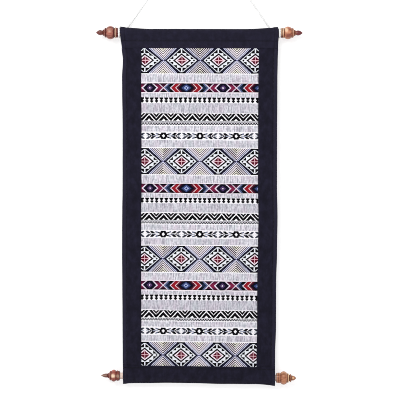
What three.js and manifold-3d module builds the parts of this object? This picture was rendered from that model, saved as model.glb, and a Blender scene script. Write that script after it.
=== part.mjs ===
// Cotton wall hanging: a woven panel framed in navy cloth, held flat between two wooden rods
// and hung by a white cord. Millimetres, +X to the right, +Z up, the front faces -Y.
// The origin is the inside top of the hanging loop, where a nail or hook bears.

import * as THREE from 'three';
import { mergeVertices } from 'three/addons/utils/BufferGeometryUtils.js';
import Module from 'manifold-3d';

const wasm = await Module();
wasm.setup();

// Driving sizes
const seat = 0.3; // clearance between two pieces that touch
const rodRadius = 8;
const rodY = -11; // both rods hang this far in front of the nail
const knotDrop = 26; // hanging knot below the nail
const topRodZ = -299;
const bottomRodZ = -1159;
const panelTop = -337.5;
const panelBottom = -1133;
const clothHalfWidth = 193.5;
const panelHalfWidth = 146.5;
const panelThickness = 1.6;
const clothThickness = 1.4;
const hemWidth = 10;
const cordRadius = 2.5;
const socketDepth = 14;
const rows = 24; // facets down the length of the cloth, and across the panel and the tunnels
const panelColumns = 12;
const tunnelColumns = 20;

// Colours and finish of the four materials
const finishes = {
  brocade: { color: 0xc9c5cf, roughness: 0.9, metalness: 0 },
  navy: { color: 0x242231, roughness: 0.92, metalness: 0 },
  wood: { color: 0x9c5a44, roughness: 0.45, metalness: 0 },
  cotton: { color: 0xf2f1ee, roughness: 0.85, metalness: 0 },
};

const object = new THREE.Group();

function addPiece(name, geometry, finish, parent = object) {
  const mesh = new THREE.Mesh(geometry, new THREE.MeshStandardMaterial(finishes[finish]));
  mesh.name = name;
  parent.add(mesh);
  return mesh;
}

// Position only, shared vertices merged, faces turned outwards
function closed(geometry) {
  geometry.deleteAttribute('normal');
  geometry.deleteAttribute('uv');
  const merged = mergeVertices(geometry, 1e-4);
  const at = merged.attributes.position;
  const index = Array.from(merged.index.array);
  const [a, b, c] = [new THREE.Vector3(), new THREE.Vector3(), new THREE.Vector3()];
  const kept = [];
  let volume = 0;
  for (let i = 0; i < index.length; i += 3) {
    const [p, q, r] = index.slice(i, i + 3);
    if (p === q || q === r || r === p) continue;
    kept.push(p, q, r);
    a.fromBufferAttribute(at, p);
    b.fromBufferAttribute(at, q);
    c.fromBufferAttribute(at, r);
    volume += a.dot(b.cross(c));
  }
  merged.setIndex(volume < 0 ? kept.reverse() : kept);
  return merged;
}

function moved(geometry, shift) {
  const at = geometry.attributes.position;
  const point = new THREE.Vector3();
  for (let i = 0; i < at.count; i += 1) {
    point.fromBufferAttribute(at, i);
    shift(point);
    at.setXYZ(i, point.x, point.y, point.z);
  }
  return geometry;
}

function toSolid(geometry) {
  const merged = closed(geometry);
  return new wasm.Manifold(new wasm.Mesh({
    numProp: 3,
    vertProperties: new Float32Array(merged.attributes.position.array),
    triVerts: new Uint32Array(merged.index.array),
  }));
}

function fused(...geometries) {
  const solid = geometries.map(toSolid).reduce((whole, next) => whole.add(next));
  const mesh = solid.getMesh();
  const geometry = new THREE.BufferGeometry();
  geometry.setAttribute('position', new THREE.BufferAttribute(new Float32Array(mesh.vertProperties), 3));
  geometry.setIndex(Array.from(mesh.triVerts));
  return geometry;
}

// How the cloth hangs. The rows give the two side edges, measured from the middle line
// at each depth below the top rod: the cloth flares at the rod, then narrows a little to the foot.
const edgeRows = [
  { below: -16, left: -198.9, right: 194.4 },
  { below: -6, left: -198.9, right: 196.9 },
  { below: 10, left: -198.4, right: 196.9 },
  { below: 38, left: -195.3, right: 195.8 },
  { below: 68, left: -192.3, right: 194.8 },
  { below: 113, left: -194.2, right: 194.0 },
  { below: 248, left: -193.0, right: 193.3 },
  { below: 383, left: -193.0, right: 192.8 },
  { below: 458, left: -193.7, right: 194.2 },
  { below: 548, left: -194.1, right: 193.0 },
  { below: 618, left: -193.7, right: 191.0 },
  { below: 728, left: -193.1, right: 190.5 },
  { below: 803, left: -192.7, right: 188.5 },
  { below: 880, left: -191.7, right: 188.0 },
];
const topTilt = 0.0015; // fall to the right at the top rod, per unit of width
const bottomTilt = 0.0137;
const bellyDepth = 1.5; // soft waves of the cloth, front to back
const edgeCurl = 1.6;

function edgeAt(below, column) {
  const next = edgeRows.findIndex((row) => row.below >= below);
  if (next <= 0) return edgeRows.at(next < 0 ? -1 : 0)[column];
  const [high, low] = [edgeRows[next - 1], edgeRows[next]];
  const part = THREE.MathUtils.smoothstep(below, high.below, low.below);
  return THREE.MathUtils.lerp(high[column], low[column], part);
}

function tiltAt(below) {
  return THREE.MathUtils.lerp(topTilt, bottomTilt, THREE.MathUtils.clamp(below / (topRodZ - bottomRodZ), 0, 1));
}

// Depth of the cloth's surface: nought at the rods, gently waved between them
function drapeAt(x, below) {
  const part = THREE.MathUtils.clamp((below - 30) / (topRodZ - bottomRodZ - 60), 0, 1);
  const loose = Math.sin(Math.PI * part) ** 0.7;
  const across = x / clothHalfWidth;
  const belly = bellyDepth * Math.cos(2.3 * across + 5.2 * part) * Math.sin(7.5 * part + 0.6);
  const curl = edgeCurl * across ** 4 * Math.sin(9 * part + across);
  return loose * (belly + curl);
}

function hang(point) {
  const below = topRodZ - point.z;
  const { x } = point;
  const left = edgeAt(below, 'left');
  const right = edgeAt(below, 'right');
  point.x = THREE.MathUtils.mapLinear(x, -clothHalfWidth, clothHalfWidth, left, right);
  point.y += drapeAt(x, below);
  point.z -= x * tiltAt(below);
}

// Woven panel, inside the seams of the border
{
  const width = 2 * (panelHalfWidth - seat / 2);
  const height = panelTop - panelBottom - seat;
  const sheet = new THREE.BoxGeometry(width, panelThickness, height, panelColumns, 1, rows);
  sheet.translate(0, rodY, (panelTop + panelBottom) / 2);
  addPiece('woven_panel', closed(moved(sheet, hang)), 'brocade');
}

// Side strips: one thickness of cloth, its outer edge turned to the back as a hem
for (const [name, side] of [['border_left', -1], ['border_right', 1]]) {
  const front = -clothThickness / 2;
  const back = clothThickness / 2;
  const hemBack = back + clothThickness;
  const inner = panelHalfWidth + seat / 2;
  const hemEdge = clothHalfWidth - hemWidth;
  const fold = 0.5; // softness of the turned edge
  const section = new THREE.Shape([
    [inner, front],
    [(inner + hemEdge) / 2, front],
    [hemEdge, front],
    [clothHalfWidth - fold, front],
    [clothHalfWidth, front + fold],
    [clothHalfWidth, hemBack - fold],
    [clothHalfWidth - fold, hemBack],
    [hemEdge, hemBack],
    [hemEdge, back],
    [(inner + hemEdge) / 2, back],
    [inner, back],
  ].map(([x, y]) => new THREE.Vector2(side * x, y)));
  const depth = panelTop - panelBottom - seat;
  const strip = new THREE.ExtrudeGeometry(section, { depth, steps: rows, bevelEnabled: false });
  strip.translate(0, rodY, panelBottom + seat / 2);
  addPiece(name, closed(moved(strip, hang)), 'navy');
}

// Top and bottom strips: the cloth folds over the rod, comes back down behind it and is
// stitched to itself, so its section is a tunnel with a flat tail that reaches the panel
const tunnelInner = rodRadius + seat;
const tunnelOuter = tunnelInner + clothThickness;
const stitchGap = 19.5; // from the rod's axis to the point where the two layers meet
const hemTail = 6; // doubled cloth beyond the stitches

// Section with the rod's way through it, which runs the other way round
function tunnelShape(outline, way) {
  const shape = new THREE.Shape(outline);
  shape.holes.push(new THREE.Path(way.reverse()));
  return shape;
}

// Angle at which a straight run of cloth from a point at that distance leaves the round
function tangentAngle(radius, distance) {
  return Math.acos(radius / distance);
}

// Points round the rod, from one angle to another, measured from straight down
function roundRod(radius, from, to, steps) {
  return Array.from({ length: steps + 1 }, (_, i) => {
    const angle = from + ((to - from) * i) / steps;
    return new THREE.Vector2(-radius * Math.sin(angle), -radius * Math.cos(angle));
  });
}

const layersMeet = stitchGap + 3; // outer faces leave each other below the inner ones
const outerTangent = tangentAngle(tunnelOuter, layersMeet);
const innerTangent = tangentAngle(tunnelInner, stitchGap);

// Top section: a round arch over the rod, the tail below
function topSection() {
  const tail = panelTop + seat / 2 - topRodZ;
  const half = clothThickness / 2;
  const outline = [
    new THREE.Vector2(-half, tail),
    new THREE.Vector2(-half, -layersMeet),
    ...roundRod(tunnelOuter, outerTangent, 2 * Math.PI - outerTangent, 14),
    new THREE.Vector2(3 * half, -layersMeet),
    new THREE.Vector2(3 * half, -layersMeet - hemTail),
    new THREE.Vector2(half, -layersMeet - hemTail),
    new THREE.Vector2(half, tail),
  ];
  return tunnelShape(outline, [
    new THREE.Vector2(half, -stitchGap),
    ...roundRod(tunnelInner, innerTangent, 2 * Math.PI - innerTangent, 12),
  ]);
}

// Bottom section: the pressed fold of the cloth hangs below the rod, which lies in its V
const foldDrop = 16;
function bottomSection() {
  const tail = panelBottom - seat / 2 - bottomRodZ;
  const half = clothThickness / 2;
  const foldOuter = tangentAngle(tunnelOuter, foldDrop + clothThickness);
  const foldInner = tangentAngle(tunnelInner, foldDrop - clothThickness);
  const hemEnd = Math.min(layersMeet + hemTail, tail - seat);
  const outline = [
    new THREE.Vector2(-half, tail),
    new THREE.Vector2(-half, layersMeet),
    ...roundRod(tunnelOuter, Math.PI - outerTangent, foldOuter, 4),
    new THREE.Vector2(-half, -foldDrop),
    new THREE.Vector2(half, -foldDrop),
    ...roundRod(tunnelOuter, -foldOuter, outerTangent - Math.PI, 4),
    new THREE.Vector2(3 * half, layersMeet),
    new THREE.Vector2(3 * half, hemEnd),
    new THREE.Vector2(half, hemEnd),
    new THREE.Vector2(half, tail),
  ];
  return tunnelShape(outline, [
    new THREE.Vector2(half, stitchGap),
    ...roundRod(tunnelInner, Math.PI - innerTangent, foldInner, 4),
    new THREE.Vector2(0, -(foldDrop - clothThickness)),
    ...roundRod(tunnelInner, -foldInner, innerTangent - Math.PI, 4),
  ]);
}

// The mouths of the tunnels gape: the fold stands away from the rod towards the corners
const mouths = {
  top: { flare: 4.7, start: 118, power: 1.3 },
  bottom: { flare: 4, start: 140, power: 1.5 },
};

function gape(point, rodZ, mouth, way) {
  const along = Math.max(0, (Math.abs(point.x) - mouth.start) / (clothHalfWidth - mouth.start));
  const rise = way * (point.z - rodZ);
  if (along === 0 || rise <= 0) return;
  const share = rise ** 2 / (rise ** 2 + (point.y - rodY) ** 2);
  point.z += way * mouth.flare * along ** mouth.power * share;
}

function tunnelStrip(section, rodZ, mouth, way) {
  const strip = new THREE.ExtrudeGeometry(section, {
    depth: 2 * clothHalfWidth,
    steps: tunnelColumns,
    bevelEnabled: false,
  });
  // the section's own x runs to the back, its y up, and the strip along X
  strip.applyMatrix4(new THREE.Matrix4().makeBasis(
    new THREE.Vector3(0, 1, 0),
    new THREE.Vector3(0, 0, 1),
    new THREE.Vector3(1, 0, 0),
  ));
  strip.translate(-clothHalfWidth, rodY, rodZ);
  return closed(moved(strip, (point) => {
    gape(point, rodZ, mouth, way);
    hang(point);
  }));
}

addPiece('border_top', tunnelStrip(topSection(), topRodZ, mouths.top, 1), 'navy');
addPiece('border_bottom', tunnelStrip(bottomSection(), bottomRodZ, mouths.bottom, -1), 'navy');

// Turned finials. Each row is one finial, hand turned, so no two are quite alike: the length
// and largest radius of its collar, ball, ring, step and tip, counted out from the rod.
// face is the inner face of the collar from the middle line; round is 1 for a spire, less for a knob.
const finialRows = [
  {
    name: 'finial_top_left', rod: 'top', side: -1, face: 204.6, round: 1,
    collar: [8.6, 13.6], ball: [21, 16.5], ring: [5, 11.8], step: [4, 8], tip: [16.4, 6.2],
  },
  {
    name: 'finial_top_right', rod: 'top', side: 1, face: 202.6, round: 1,
    collar: [8.2, 13.3], ball: [19.4, 15.8], ring: [6, 11.8], step: [3.6, 7.6], tip: [17.8, 6],
  },
  {
    name: 'finial_bottom_left', rod: 'bottom', side: -1, face: 200, round: 1,
    collar: [8.6, 13.4], ball: [13, 15], ring: [5, 11.6], step: [3.6, 6.6], tip: [17, 4.4],
  },
  {
    name: 'finial_bottom_right', rod: 'bottom', side: 1, face: 191.3, round: 0.5,
    collar: [10.6, 13.2], ball: [17, 16.6], ring: [5, 11.4], step: [6, 10], tip: [10.6, 5.4],
  },
];

// Points of one turned bead: from radius `start`, out to `peak`, back in to `end`
function bead(from, length, start, peak, end, steps, round = 0.8) {
  return Array.from({ length: steps + 1 }, (_, i) => {
    const part = i / steps;
    const base = THREE.MathUtils.lerp(start, end, part);
    const swell = (peak - (start + end) / 2) * Math.sin(Math.PI * part) ** round;
    return new THREE.Vector2(base + swell, from + length * part);
  });
}

function finialSolid(row) {
  const [collarLength, collarRadius] = row.collar;
  const bore = rodRadius + seat;
  const rim = collarRadius - 2;
  const neck = 4;
  const points = [
    new THREE.Vector2(0, socketDepth),
    new THREE.Vector2(bore, socketDepth),
    new THREE.Vector2(bore, 0),
    ...bead(0, 0.45 * collarLength, rim - 1, collarRadius - 0.7, rim, 3),
    ...bead(0.45 * collarLength, 0.55 * collarLength, rim, collarRadius, rim - 0.6, 3).slice(1),
  ];
  let at = collarLength;
  const turnings = [
    { size: row.ball, end: 10.6, steps: 8, round: 0.7 },
    { size: row.ring, end: 6.4, steps: 3, round: 0.6 },
    { size: row.step, end: neck, steps: 3, round: 0.6 },
  ];
  for (const { size: [length, peak], end, steps, round } of turnings) {
    const start = points.at(-1).x;
    points.push(...bead(at, length, start, peak, Math.min(end, peak - 1.5), steps, round).slice(1));
    at += length;
  }
  const [tipLength, tipRadius] = row.tip;
  points.push(...bead(at, tipLength, neck, tipRadius, 0, 7, row.round).slice(1));
  points.at(-1).x = 0;
  const solid = new THREE.LatheGeometry(points, 18);
  solid.rotateZ(-row.side * Math.PI / 2);
  solid.translate(row.side * row.face, 0, 0);
  return closed(solid);
}

// Each rod and its two finials are one straight group, tilted as the cloth is there
const rods = [
  { name: 'top', z: topRodZ, tilt: topTilt },
  { name: 'bottom', z: bottomRodZ, tilt: bottomTilt },
];
for (const { name, z, tilt } of rods) {
  const group = new THREE.Group();
  group.position.set(0, rodY, z);
  group.rotation.y = Math.atan(tilt);
  object.add(group);
  const ends = finialRows.filter((row) => row.rod === name);
  const [left, right] = ends.map((row) => row.side * (row.face + socketDepth - seat));
  const dowel = new THREE.CylinderGeometry(rodRadius, rodRadius, right - left, 24);
  dowel.rotateZ(Math.PI / 2);
  dowel.translate((left + right) / 2, 0, 0);
  addPiece(`rod_${name}`, closed(dowel), 'wood', group);
  for (const row of ends) addPiece(row.name, finialSolid(row), 'wood', group);
}

// Cord: a section swept along a curve, its end faces square to it
function cordTube(points, steps, radius = cordRadius) {
  const section = new THREE.Shape();
  section.absarc(0, 0, radius, 0, 2 * Math.PI);
  const route = new THREE.CatmullRomCurve3(points.map((point) => new THREE.Vector3(...point)));
  return new THREE.ExtrudeGeometry(section, { steps, extrudePath: route, curveSegments: 4 });
}

// Ties: one turn of cord round the rod in the gap between cloth and finial, carried behind the
// cloth to a small knot on the leg, with a short free end below it
const turnRadius = rodRadius + seat + cordRadius;
const bridgeSetBack = 0.9; // the bridge starts this far behind the turn, to pass clear of the cloth
const bridgeRise = 2; // and this far above the knot
const knotHalf = { x: 6.5, y: 4.2, z: 6 };
const ties = [
  { side: -1, name: 'left', turn: -201.75, knot: [-194, 3.4, -302], end: [-192.4, 1.4, -326] },
  { side: 1, name: 'right', turn: 199.75, knot: [187, 3.4, -302.3], end: [185.2, 1.2, -325] },
];

function knotBall(half, centre) {
  const ball = new THREE.SphereGeometry(1, 12, 8);
  ball.scale(half.x, half.y, half.z);
  return ball.translate(...centre);
}

for (const { name, turn, knot, end } of ties) {
  const ringSection = Array.from({ length: 9 }, (_, i) => {
    const angle = (i / 8) * 2 * Math.PI;
    return new THREE.Vector2(turnRadius + cordRadius * Math.cos(angle), cordRadius * Math.sin(angle));
  });
  const ring = new THREE.LatheGeometry(ringSection, 24);
  ring.rotateZ(Math.PI / 2);
  ring.translate(turn, rodY, topRodZ - turn * topTilt);
  const bridgeStart = [turn, rodY + turnRadius + bridgeSetBack, knot[2] + bridgeRise];
  const bridge = cordTube([bridgeStart, knot], 2);
  const tail = cordTube([knot, [(knot[0] + end[0]) / 2, 3.6, -314], end], 5);
  addPiece(`cord_tie_${name}`, fused(ring, bridge, knotBall(knotHalf, knot), tail), 'cotton');
}

// Hanging knot and loop, where the two legs meet
const hangingKnot = [0, 0, -knotDrop];
const hangingKnotHalf = { x: 7.5, y: 5, z: 8 };
const loopPoints = [
  [-2.6, 0, -22], [-5.6, 0, -16.5], [-7.6, 0, -10], [-7.2, 0, -3.6], [-4.3, 0, 0.9],
  [0, 0, cordRadius],
  [4.3, 0, 0.9], [7.2, 0, -3.6], [7.6, 0, -10], [5.6, 0, -16.5], [2.6, 0, -22],
];
addPiece('cord_loop', fused(knotBall(hangingKnotHalf, hangingKnot), cordTube(loopPoints, 26)), 'cotton');

// Legs: taut runs of cord from the ties up to the hanging knot, face to face with both knots
function reach(half, direction) {
  return Math.hypot(half.x * direction.x, half.y * direction.y, half.z * direction.z) + seat;
}

const legSag = 1.6; // what the cord's own weight takes off the straight line at mid leg
for (const { name, knot } of ties) {
  const [low, high] = [new THREE.Vector3(...knot), new THREE.Vector3(...hangingKnot)];
  const direction = high.clone().sub(low).normalize();
  low.addScaledVector(direction, reach(knotHalf, direction));
  high.addScaledVector(direction, -reach(hangingKnotHalf, direction));
  const route = Array.from({ length: 7 }, (_, i) => {
    const point = low.clone().lerp(high, i / 6);
    return [point.x, point.y, point.z - legSag * 4 * (i / 6) * (1 - i / 6)];
  });
  addPiece(`cord_leg_${name}`, closed(cordTube(route, 26)), 'cotton');
}

export default object;
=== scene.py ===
# %% [markdown]
# # A woven cotton wall hanging
#
# A patterned strip of hand-woven cotton is framed in navy cloth. It is held flat between two wooden rods with
# turned finials, and a white cord carries it from a nail. The construction was made before: it is loaded here
# as a fixed frame, and this lesson only dresses it. All sizes are in millimetres, drawn where the frame has
# them, and turned to metres in the last step of each piece.

# %% Load the frame
import math

import bmesh
import bpy
from mathutils import Matrix, Vector, noise


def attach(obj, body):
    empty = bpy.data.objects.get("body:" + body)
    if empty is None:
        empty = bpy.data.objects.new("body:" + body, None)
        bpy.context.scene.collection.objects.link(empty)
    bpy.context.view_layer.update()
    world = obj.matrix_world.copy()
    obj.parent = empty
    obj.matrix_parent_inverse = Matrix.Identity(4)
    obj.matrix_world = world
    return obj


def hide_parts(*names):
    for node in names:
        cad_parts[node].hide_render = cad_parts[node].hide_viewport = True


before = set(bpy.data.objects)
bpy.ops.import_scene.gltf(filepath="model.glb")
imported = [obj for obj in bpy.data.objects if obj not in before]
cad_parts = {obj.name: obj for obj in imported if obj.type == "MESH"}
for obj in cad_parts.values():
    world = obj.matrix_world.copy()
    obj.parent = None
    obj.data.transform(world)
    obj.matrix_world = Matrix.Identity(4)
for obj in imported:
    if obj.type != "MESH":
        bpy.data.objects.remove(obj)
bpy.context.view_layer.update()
MM = 0.001

# %% [markdown]
# ## Camera
#
# The hanging is seen square on, as in a shop picture, so the camera looks straight along +Y at its middle.
# A long lens far away would draw the same picture flatter, and three metres is what a photographer has in a
# small studio. The lens is worked out from the one metre that the square frame covers at the cloth.

# %% Camera
ROD_Y = -11
FRAME_WIDTH = 1000
CAMERA_DISTANCE = 3000
SENSOR_WIDTH = 36
PICTURE_CENTRE = (0.5, -717)  # x and z of the middle of the picture
FILM_SOFTNESS = 0.95  # in pixels: a shop picture is crisp

camera_data = bpy.data.cameras.new("front_camera")
camera_data.sensor_width = SENSOR_WIDTH
camera_data.lens = SENSOR_WIDTH * CAMERA_DISTANCE / FRAME_WIDTH
camera = bpy.data.objects.new("front_camera", camera_data)
camera.location = Vector((PICTURE_CENTRE[0], ROD_Y - CAMERA_DISTANCE, PICTURE_CENTRE[1])) * MM
camera.rotation_euler = (math.radians(90), 0, 0)
bpy.context.scene.collection.objects.link(camera)
bpy.context.scene.camera = camera
bpy.context.scene.view_settings.view_transform = "Standard"
bpy.context.scene.cycles.filter_width = FILM_SOFTNESS
print("lens:", round(camera_data.lens), "mm")

# %% [markdown]
# ## From a drawing to a piece
#
# Every piece is drawn as a bmesh in millimetres. One helper scales it to metres, gives it its materials and
# lets it ride on the frame, so that each object stays at the origin with its place in its mesh.


# %% Helper that makes a piece
def make_piece(bm, name, materials, replaces=()):
    bmesh.ops.scale(bm, vec=(MM, MM, MM), verts=bm.verts)
    for face in bm.faces:
        face.smooth = True
    mesh = bpy.data.meshes.new(name)
    bm.to_mesh(mesh)
    bm.free()
    for material in materials:
        mesh.materials.append(material)
    piece = bpy.data.objects.new(name, mesh)
    bpy.context.scene.collection.objects.link(piece)
    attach(piece, "root")
    if replaces:
        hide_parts(*replaces)
    print(name + ":", len(mesh.polygons), "faces")
    return piece


def blend(start, end, part):
    return start + (end - start) * part


def eased(part):
    """0 to 1 with soft ends."""
    part = min(max(part, 0), 1)
    return part * part * (3 - 2 * part)


print("helpers ready")

# %% [markdown]
# ## Numbers that change over a surface
#
# The patterns below are formulas: distances, folds and masks. Written with nodes by hand they would be hard
# to read, so a small class stands for one socket of a node tree, and each sum or comparison adds one Math
# node. A mask is 1 where something is true and 0 elsewhere; `&` and `|` join masks. A Picture starts as one
# colour and is painted over, mask by mask. A mask times a number below 1 paints thinly.


# %% Fields
class Field:
    def __init__(self, tree, socket):
        self.tree = tree
        self.socket = socket

    def math(self, operation, *values):
        node = self.tree.nodes.new("ShaderNodeMath")
        node.operation = operation
        for slot, value in zip(node.inputs, values):
            if isinstance(value, Field):
                self.tree.links.new(value.socket, slot)
            else:
                slot.default_value = value
        return Field(self.tree, node.outputs[0])

    def __add__(self, other):
        return self.math("ADD", self, other)

    def __sub__(self, other):
        return self.math("SUBTRACT", self, other)

    def __rsub__(self, other):
        return self.math("SUBTRACT", other, self)

    def __mul__(self, other):
        return self.math("MULTIPLY", self, other)

    def __truediv__(self, other):
        return self.math("DIVIDE", self, other)

    def __abs__(self):
        return self.math("ABSOLUTE", self)

    def __lt__(self, other):
        return self.math("LESS_THAN", self, other)

    def __gt__(self, other):
        return self.math("GREATER_THAN", self, other)

    def __and__(self, other):
        return self.math("MULTIPLY", self, other)

    def __or__(self, other):
        return self.math("MAXIMUM", self, other)

    def between(self, low, high):
        return self.math("COMPARE", self, (low + high) / 2, (high - low) / 2)

    def folded(self, half):
        """Back and forth between 0 and half, starting at 0."""
        return self.math("PINGPONG", self, half)

    def floor(self):
        return self.math("FLOOR", self)

    def fraction(self):
        return self.math("FRACT", self)

    def sine(self):
        return self.math("SINE", self)

    def stepped(self, size):
        """Held level over steps of that size, as threads make it."""
        return ((self / size).floor() + 0.5) * size


def dye(red, green, blue):
    """A colour given as it shows on a screen, 0 to 255, for a node's linear socket."""
    def linear(part):
        part /= 255
        return part / 12.92 if part <= 0.04045 else ((part + 0.055) / 1.055) ** 2.4
    return (linear(red), linear(green), linear(blue), 1)


def mixed(tree, factor, under, over):
    """Colour socket of `over` laid on `under` where factor is 1. Each may be a socket or a plain colour."""
    node = tree.nodes.new("ShaderNodeMix")
    node.data_type = "RGBA"
    node.clamp_factor = True
    colour_inputs = [slot for slot in node.inputs if slot.type == "RGBA"]
    for slot, value in zip([node.inputs[0], *colour_inputs], (factor, under, over)):
        if isinstance(value, Field):
            tree.links.new(value.socket, slot)
        elif isinstance(value, bpy.types.NodeSocket):
            tree.links.new(value, slot)
        else:
            slot.default_value = value
    return next(slot for slot in node.outputs if slot.type == "RGBA")


class Picture:
    """A colour that is painted over, one mask at a time."""

    def __init__(self, tree, colour):
        self.tree = tree
        self.colour = colour

    def paint(self, mask, colour):
        self.colour = mixed(self.tree, mask, self.colour, colour)


def noise_field(tree, vector, scale, detail=2.0, roughness=0.5):
    node = tree.nodes.new("ShaderNodeTexNoise")
    tree.links.new(vector, node.inputs["Vector"])
    node.inputs["Scale"].default_value = scale
    node.inputs["Detail"].default_value = detail
    node.inputs["Roughness"].default_value = roughness
    return Field(tree, node.outputs["Fac"])


def contrast(field, low, high):
    """The field from low to high, stretched to 0 to 1 and clamped there."""
    node = field.tree.nodes.new("ShaderNodeMapRange")
    node.clamp = True
    field.tree.links.new(field.socket, node.inputs["Value"])
    node.inputs["From Min"].default_value = low
    node.inputs["From Max"].default_value = high
    return Field(field.tree, node.outputs["Result"])


def stretched(tree, vector, factors, turn=(0, 0, 0)):
    """The vector times a factor for each axis, after a turn in degrees."""
    node = tree.nodes.new("ShaderNodeMapping")
    tree.links.new(vector, node.inputs["Vector"])
    node.inputs["Rotation"].default_value = [math.radians(angle) for angle in turn]
    node.inputs["Scale"].default_value = factors
    return node.outputs["Vector"]


def new_material(name, roughness, specular=0.5, sheen=0.0, coat=0.0):
    """An empty material with a Principled shader, and the plain values that it keeps on its own sockets."""
    material = bpy.data.materials.new(name)
    material.use_nodes = True
    tree = material.node_tree
    shader = tree.nodes["Principled BSDF"]
    shader.inputs["Roughness"].default_value = roughness
    shader.inputs["Specular IOR Level"].default_value = specular
    shader.inputs["Sheen Weight"].default_value = sheen
    shader.inputs["Coat Weight"].default_value = coat
    return material, tree, shader


def bumped(tree, shader, height, depth):
    """Feeds the shader's normal from a height of 0 to 1 that stands for that many millimetres."""
    node = tree.nodes.new("ShaderNodeBump")
    node.inputs["Distance"].default_value = depth * MM
    node.inputs["Strength"].default_value = 1.0
    tree.links.new(height.socket, node.inputs["Height"])
    tree.links.new(node.outputs["Normal"], shader.inputs["Normal"])


def new_group(name, inputs, outputs):
    """A shader node group with those sockets. Gives the group and its inner input and output nodes."""
    group = bpy.data.node_groups.new(name, "ShaderNodeTree")
    for label, kind in inputs:
        group.interface.new_socket(label, in_out="INPUT", socket_type=kind)
    for label, kind in outputs:
        group.interface.new_socket(label, in_out="OUTPUT", socket_type=kind)
    return group, group.nodes.new("NodeGroupInput"), group.nodes.new("NodeGroupOutput")


def placed_group(tree, group, vector, **values):
    """The group as one node of a material, fed with a vector and its own values."""
    node = tree.nodes.new("ShaderNodeGroup")
    node.node_tree = group
    tree.links.new(vector, node.inputs["Vector"])
    for label, value in values.items():
        node.inputs[label].default_value = value
    return node


def object_place(tree):
    return tree.nodes.new("ShaderNodeTexCoord").outputs["Object"]


def cloth_place(tree):
    node = tree.nodes.new("ShaderNodeUVMap")
    node.uv_map = "cloth"
    return node.outputs["UV"]


def own_attribute(tree, name):
    node = tree.nodes.new("ShaderNodeAttribute")
    node.attribute_name = name
    return Field(tree, node.outputs["Fac"])


print("fields ready")

# %% [markdown]
# ## White cord
#
# The hanging cord is soft white cotton, three strands laid together. Under a lens each strand is a bundle of
# fine yarn with a little fuzz, so the colour wavers slightly and the surface has a fine bump.

# %% Cord finish
SOAK_DEPTH = 0.6  # how far light soaks into the yarn

cord_cotton, tree, shader = new_material("cord_cotton", roughness=0.9, specular=0.15, sheen=0.1)
place = object_place(tree)
fuzz = noise_field(tree, place, 1400, detail=3)
shade = noise_field(tree, place, 160)
tint = mixed(tree, shade, dye(233, 233, 232), dye(240, 240, 240))
tree.links.new(mixed(tree, fuzz * 0.1, tint, dye(218, 217, 216)), shader.inputs["Base Color"])
shader.inputs["Subsurface Weight"].default_value = 0.15
shader.inputs["Subsurface Radius"].default_value = (1, 1, 1)
shader.inputs["Subsurface Scale"].default_value = SOAK_DEPTH * MM
bumped(tree, shader, fuzz, 0.12)
print("cord finish ready")

# %% [markdown]
# ## Lines to follow
#
# A cord follows a line in space, and folded cloth follows a line in its section. Both are a chain of points
# that can be read by distance from its start. The points of a cord are given one by one and repeat the
# frame's; a smooth curve through them is filled in between. The line also carries a sideways direction along
# that doesn't turn round it, so a rope's own twist stays even.


# %% Lines
CURVE_STEPS = 8  # samples between two points of a curve


def curve_through(points):
    points = [Vector(point) for point in points]
    ends = [points[0] * 2 - points[1], *points, points[-1] * 2 - points[-2]]
    curve = []
    for before, start, end, after in zip(ends, ends[1:], ends[2:], ends[3:]):
        for step in range(CURVE_STEPS):
            part = step / CURVE_STEPS
            ease = 3 * part**2 - 2 * part**3
            curve.append(
                start.lerp(end, ease)
                + (end - before) / 2 * (part**3 - 2 * part**2 + part)
                + (after - start) / 2 * (part**3 - part**2)
            )
    return curve + [points[-1]]


class Line:
    def __init__(self, points):
        self.points = [Vector(point) for point in points]
        self.lengths = [0.0]
        for start, end in zip(self.points, self.points[1:]):
            self.lengths.append(self.lengths[-1] + (end - start).length)
        self.length = self.lengths[-1]
        last = len(self.points) - 1
        self.directions = [
            (self.points[min(index + 1, last)] - self.points[max(index - 1, 0)]).normalized()
            for index in range(last + 1)
        ]
        side = self.directions[0].orthogonal().normalized()
        self.sides = [side]
        for start, end in zip(self.directions, self.directions[1:]):
            side = start.rotation_difference(end) @ side
            self.sides.append(side)
        self.near = 0

    def at(self, distance):
        """Point, direction and side at a distance. Reading on from the last place is quick."""
        distance = min(max(distance, 0), self.length)
        while self.near > 0 and self.lengths[self.near] > distance:
            self.near -= 1
        while self.near < len(self.lengths) - 2 and self.lengths[self.near + 1] < distance:
            self.near += 1
        low, high = self.near, self.near + 1
        part = (distance - self.lengths[low]) / max(self.lengths[high] - self.lengths[low], 1e-9)
        return (
            self.points[low].lerp(self.points[high], part),
            self.directions[low].lerp(self.directions[high], part).normalized(),
            self.sides[low].lerp(self.sides[high], part).normalized(),
        )


def arc(centre, radius, start, end, steps):
    """Points of an arc in a section. Angles in degrees from straight down, over the front."""
    points = []
    for step in range(steps + 1):
        angle = math.radians(blend(start, end, step / steps))
        points.append((0, centre[0] - radius * math.sin(angle), centre[1] - radius * math.cos(angle)))
    return points


print("lines ready")

# %% [markdown]
# ## Laid rope
#
# A laid rope is three strands turned round one another. Each strand starts as a circle beside the rope's
# middle line, and one spin with a rise on each step winds it up like a real strand. The straight rope is
# then bent on to its line, which is quicker and truer than winding on a curve.

# %% Rope
STRANDS = 3
LAY = 3.4  # length of one full turn of the strands, in rope diameters
STEPS_PER_TURN = 16
STRAND_SHARE = 0.66  # a strand's radius, as a share of the rope's
KNOT_STEPS = 24


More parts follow.
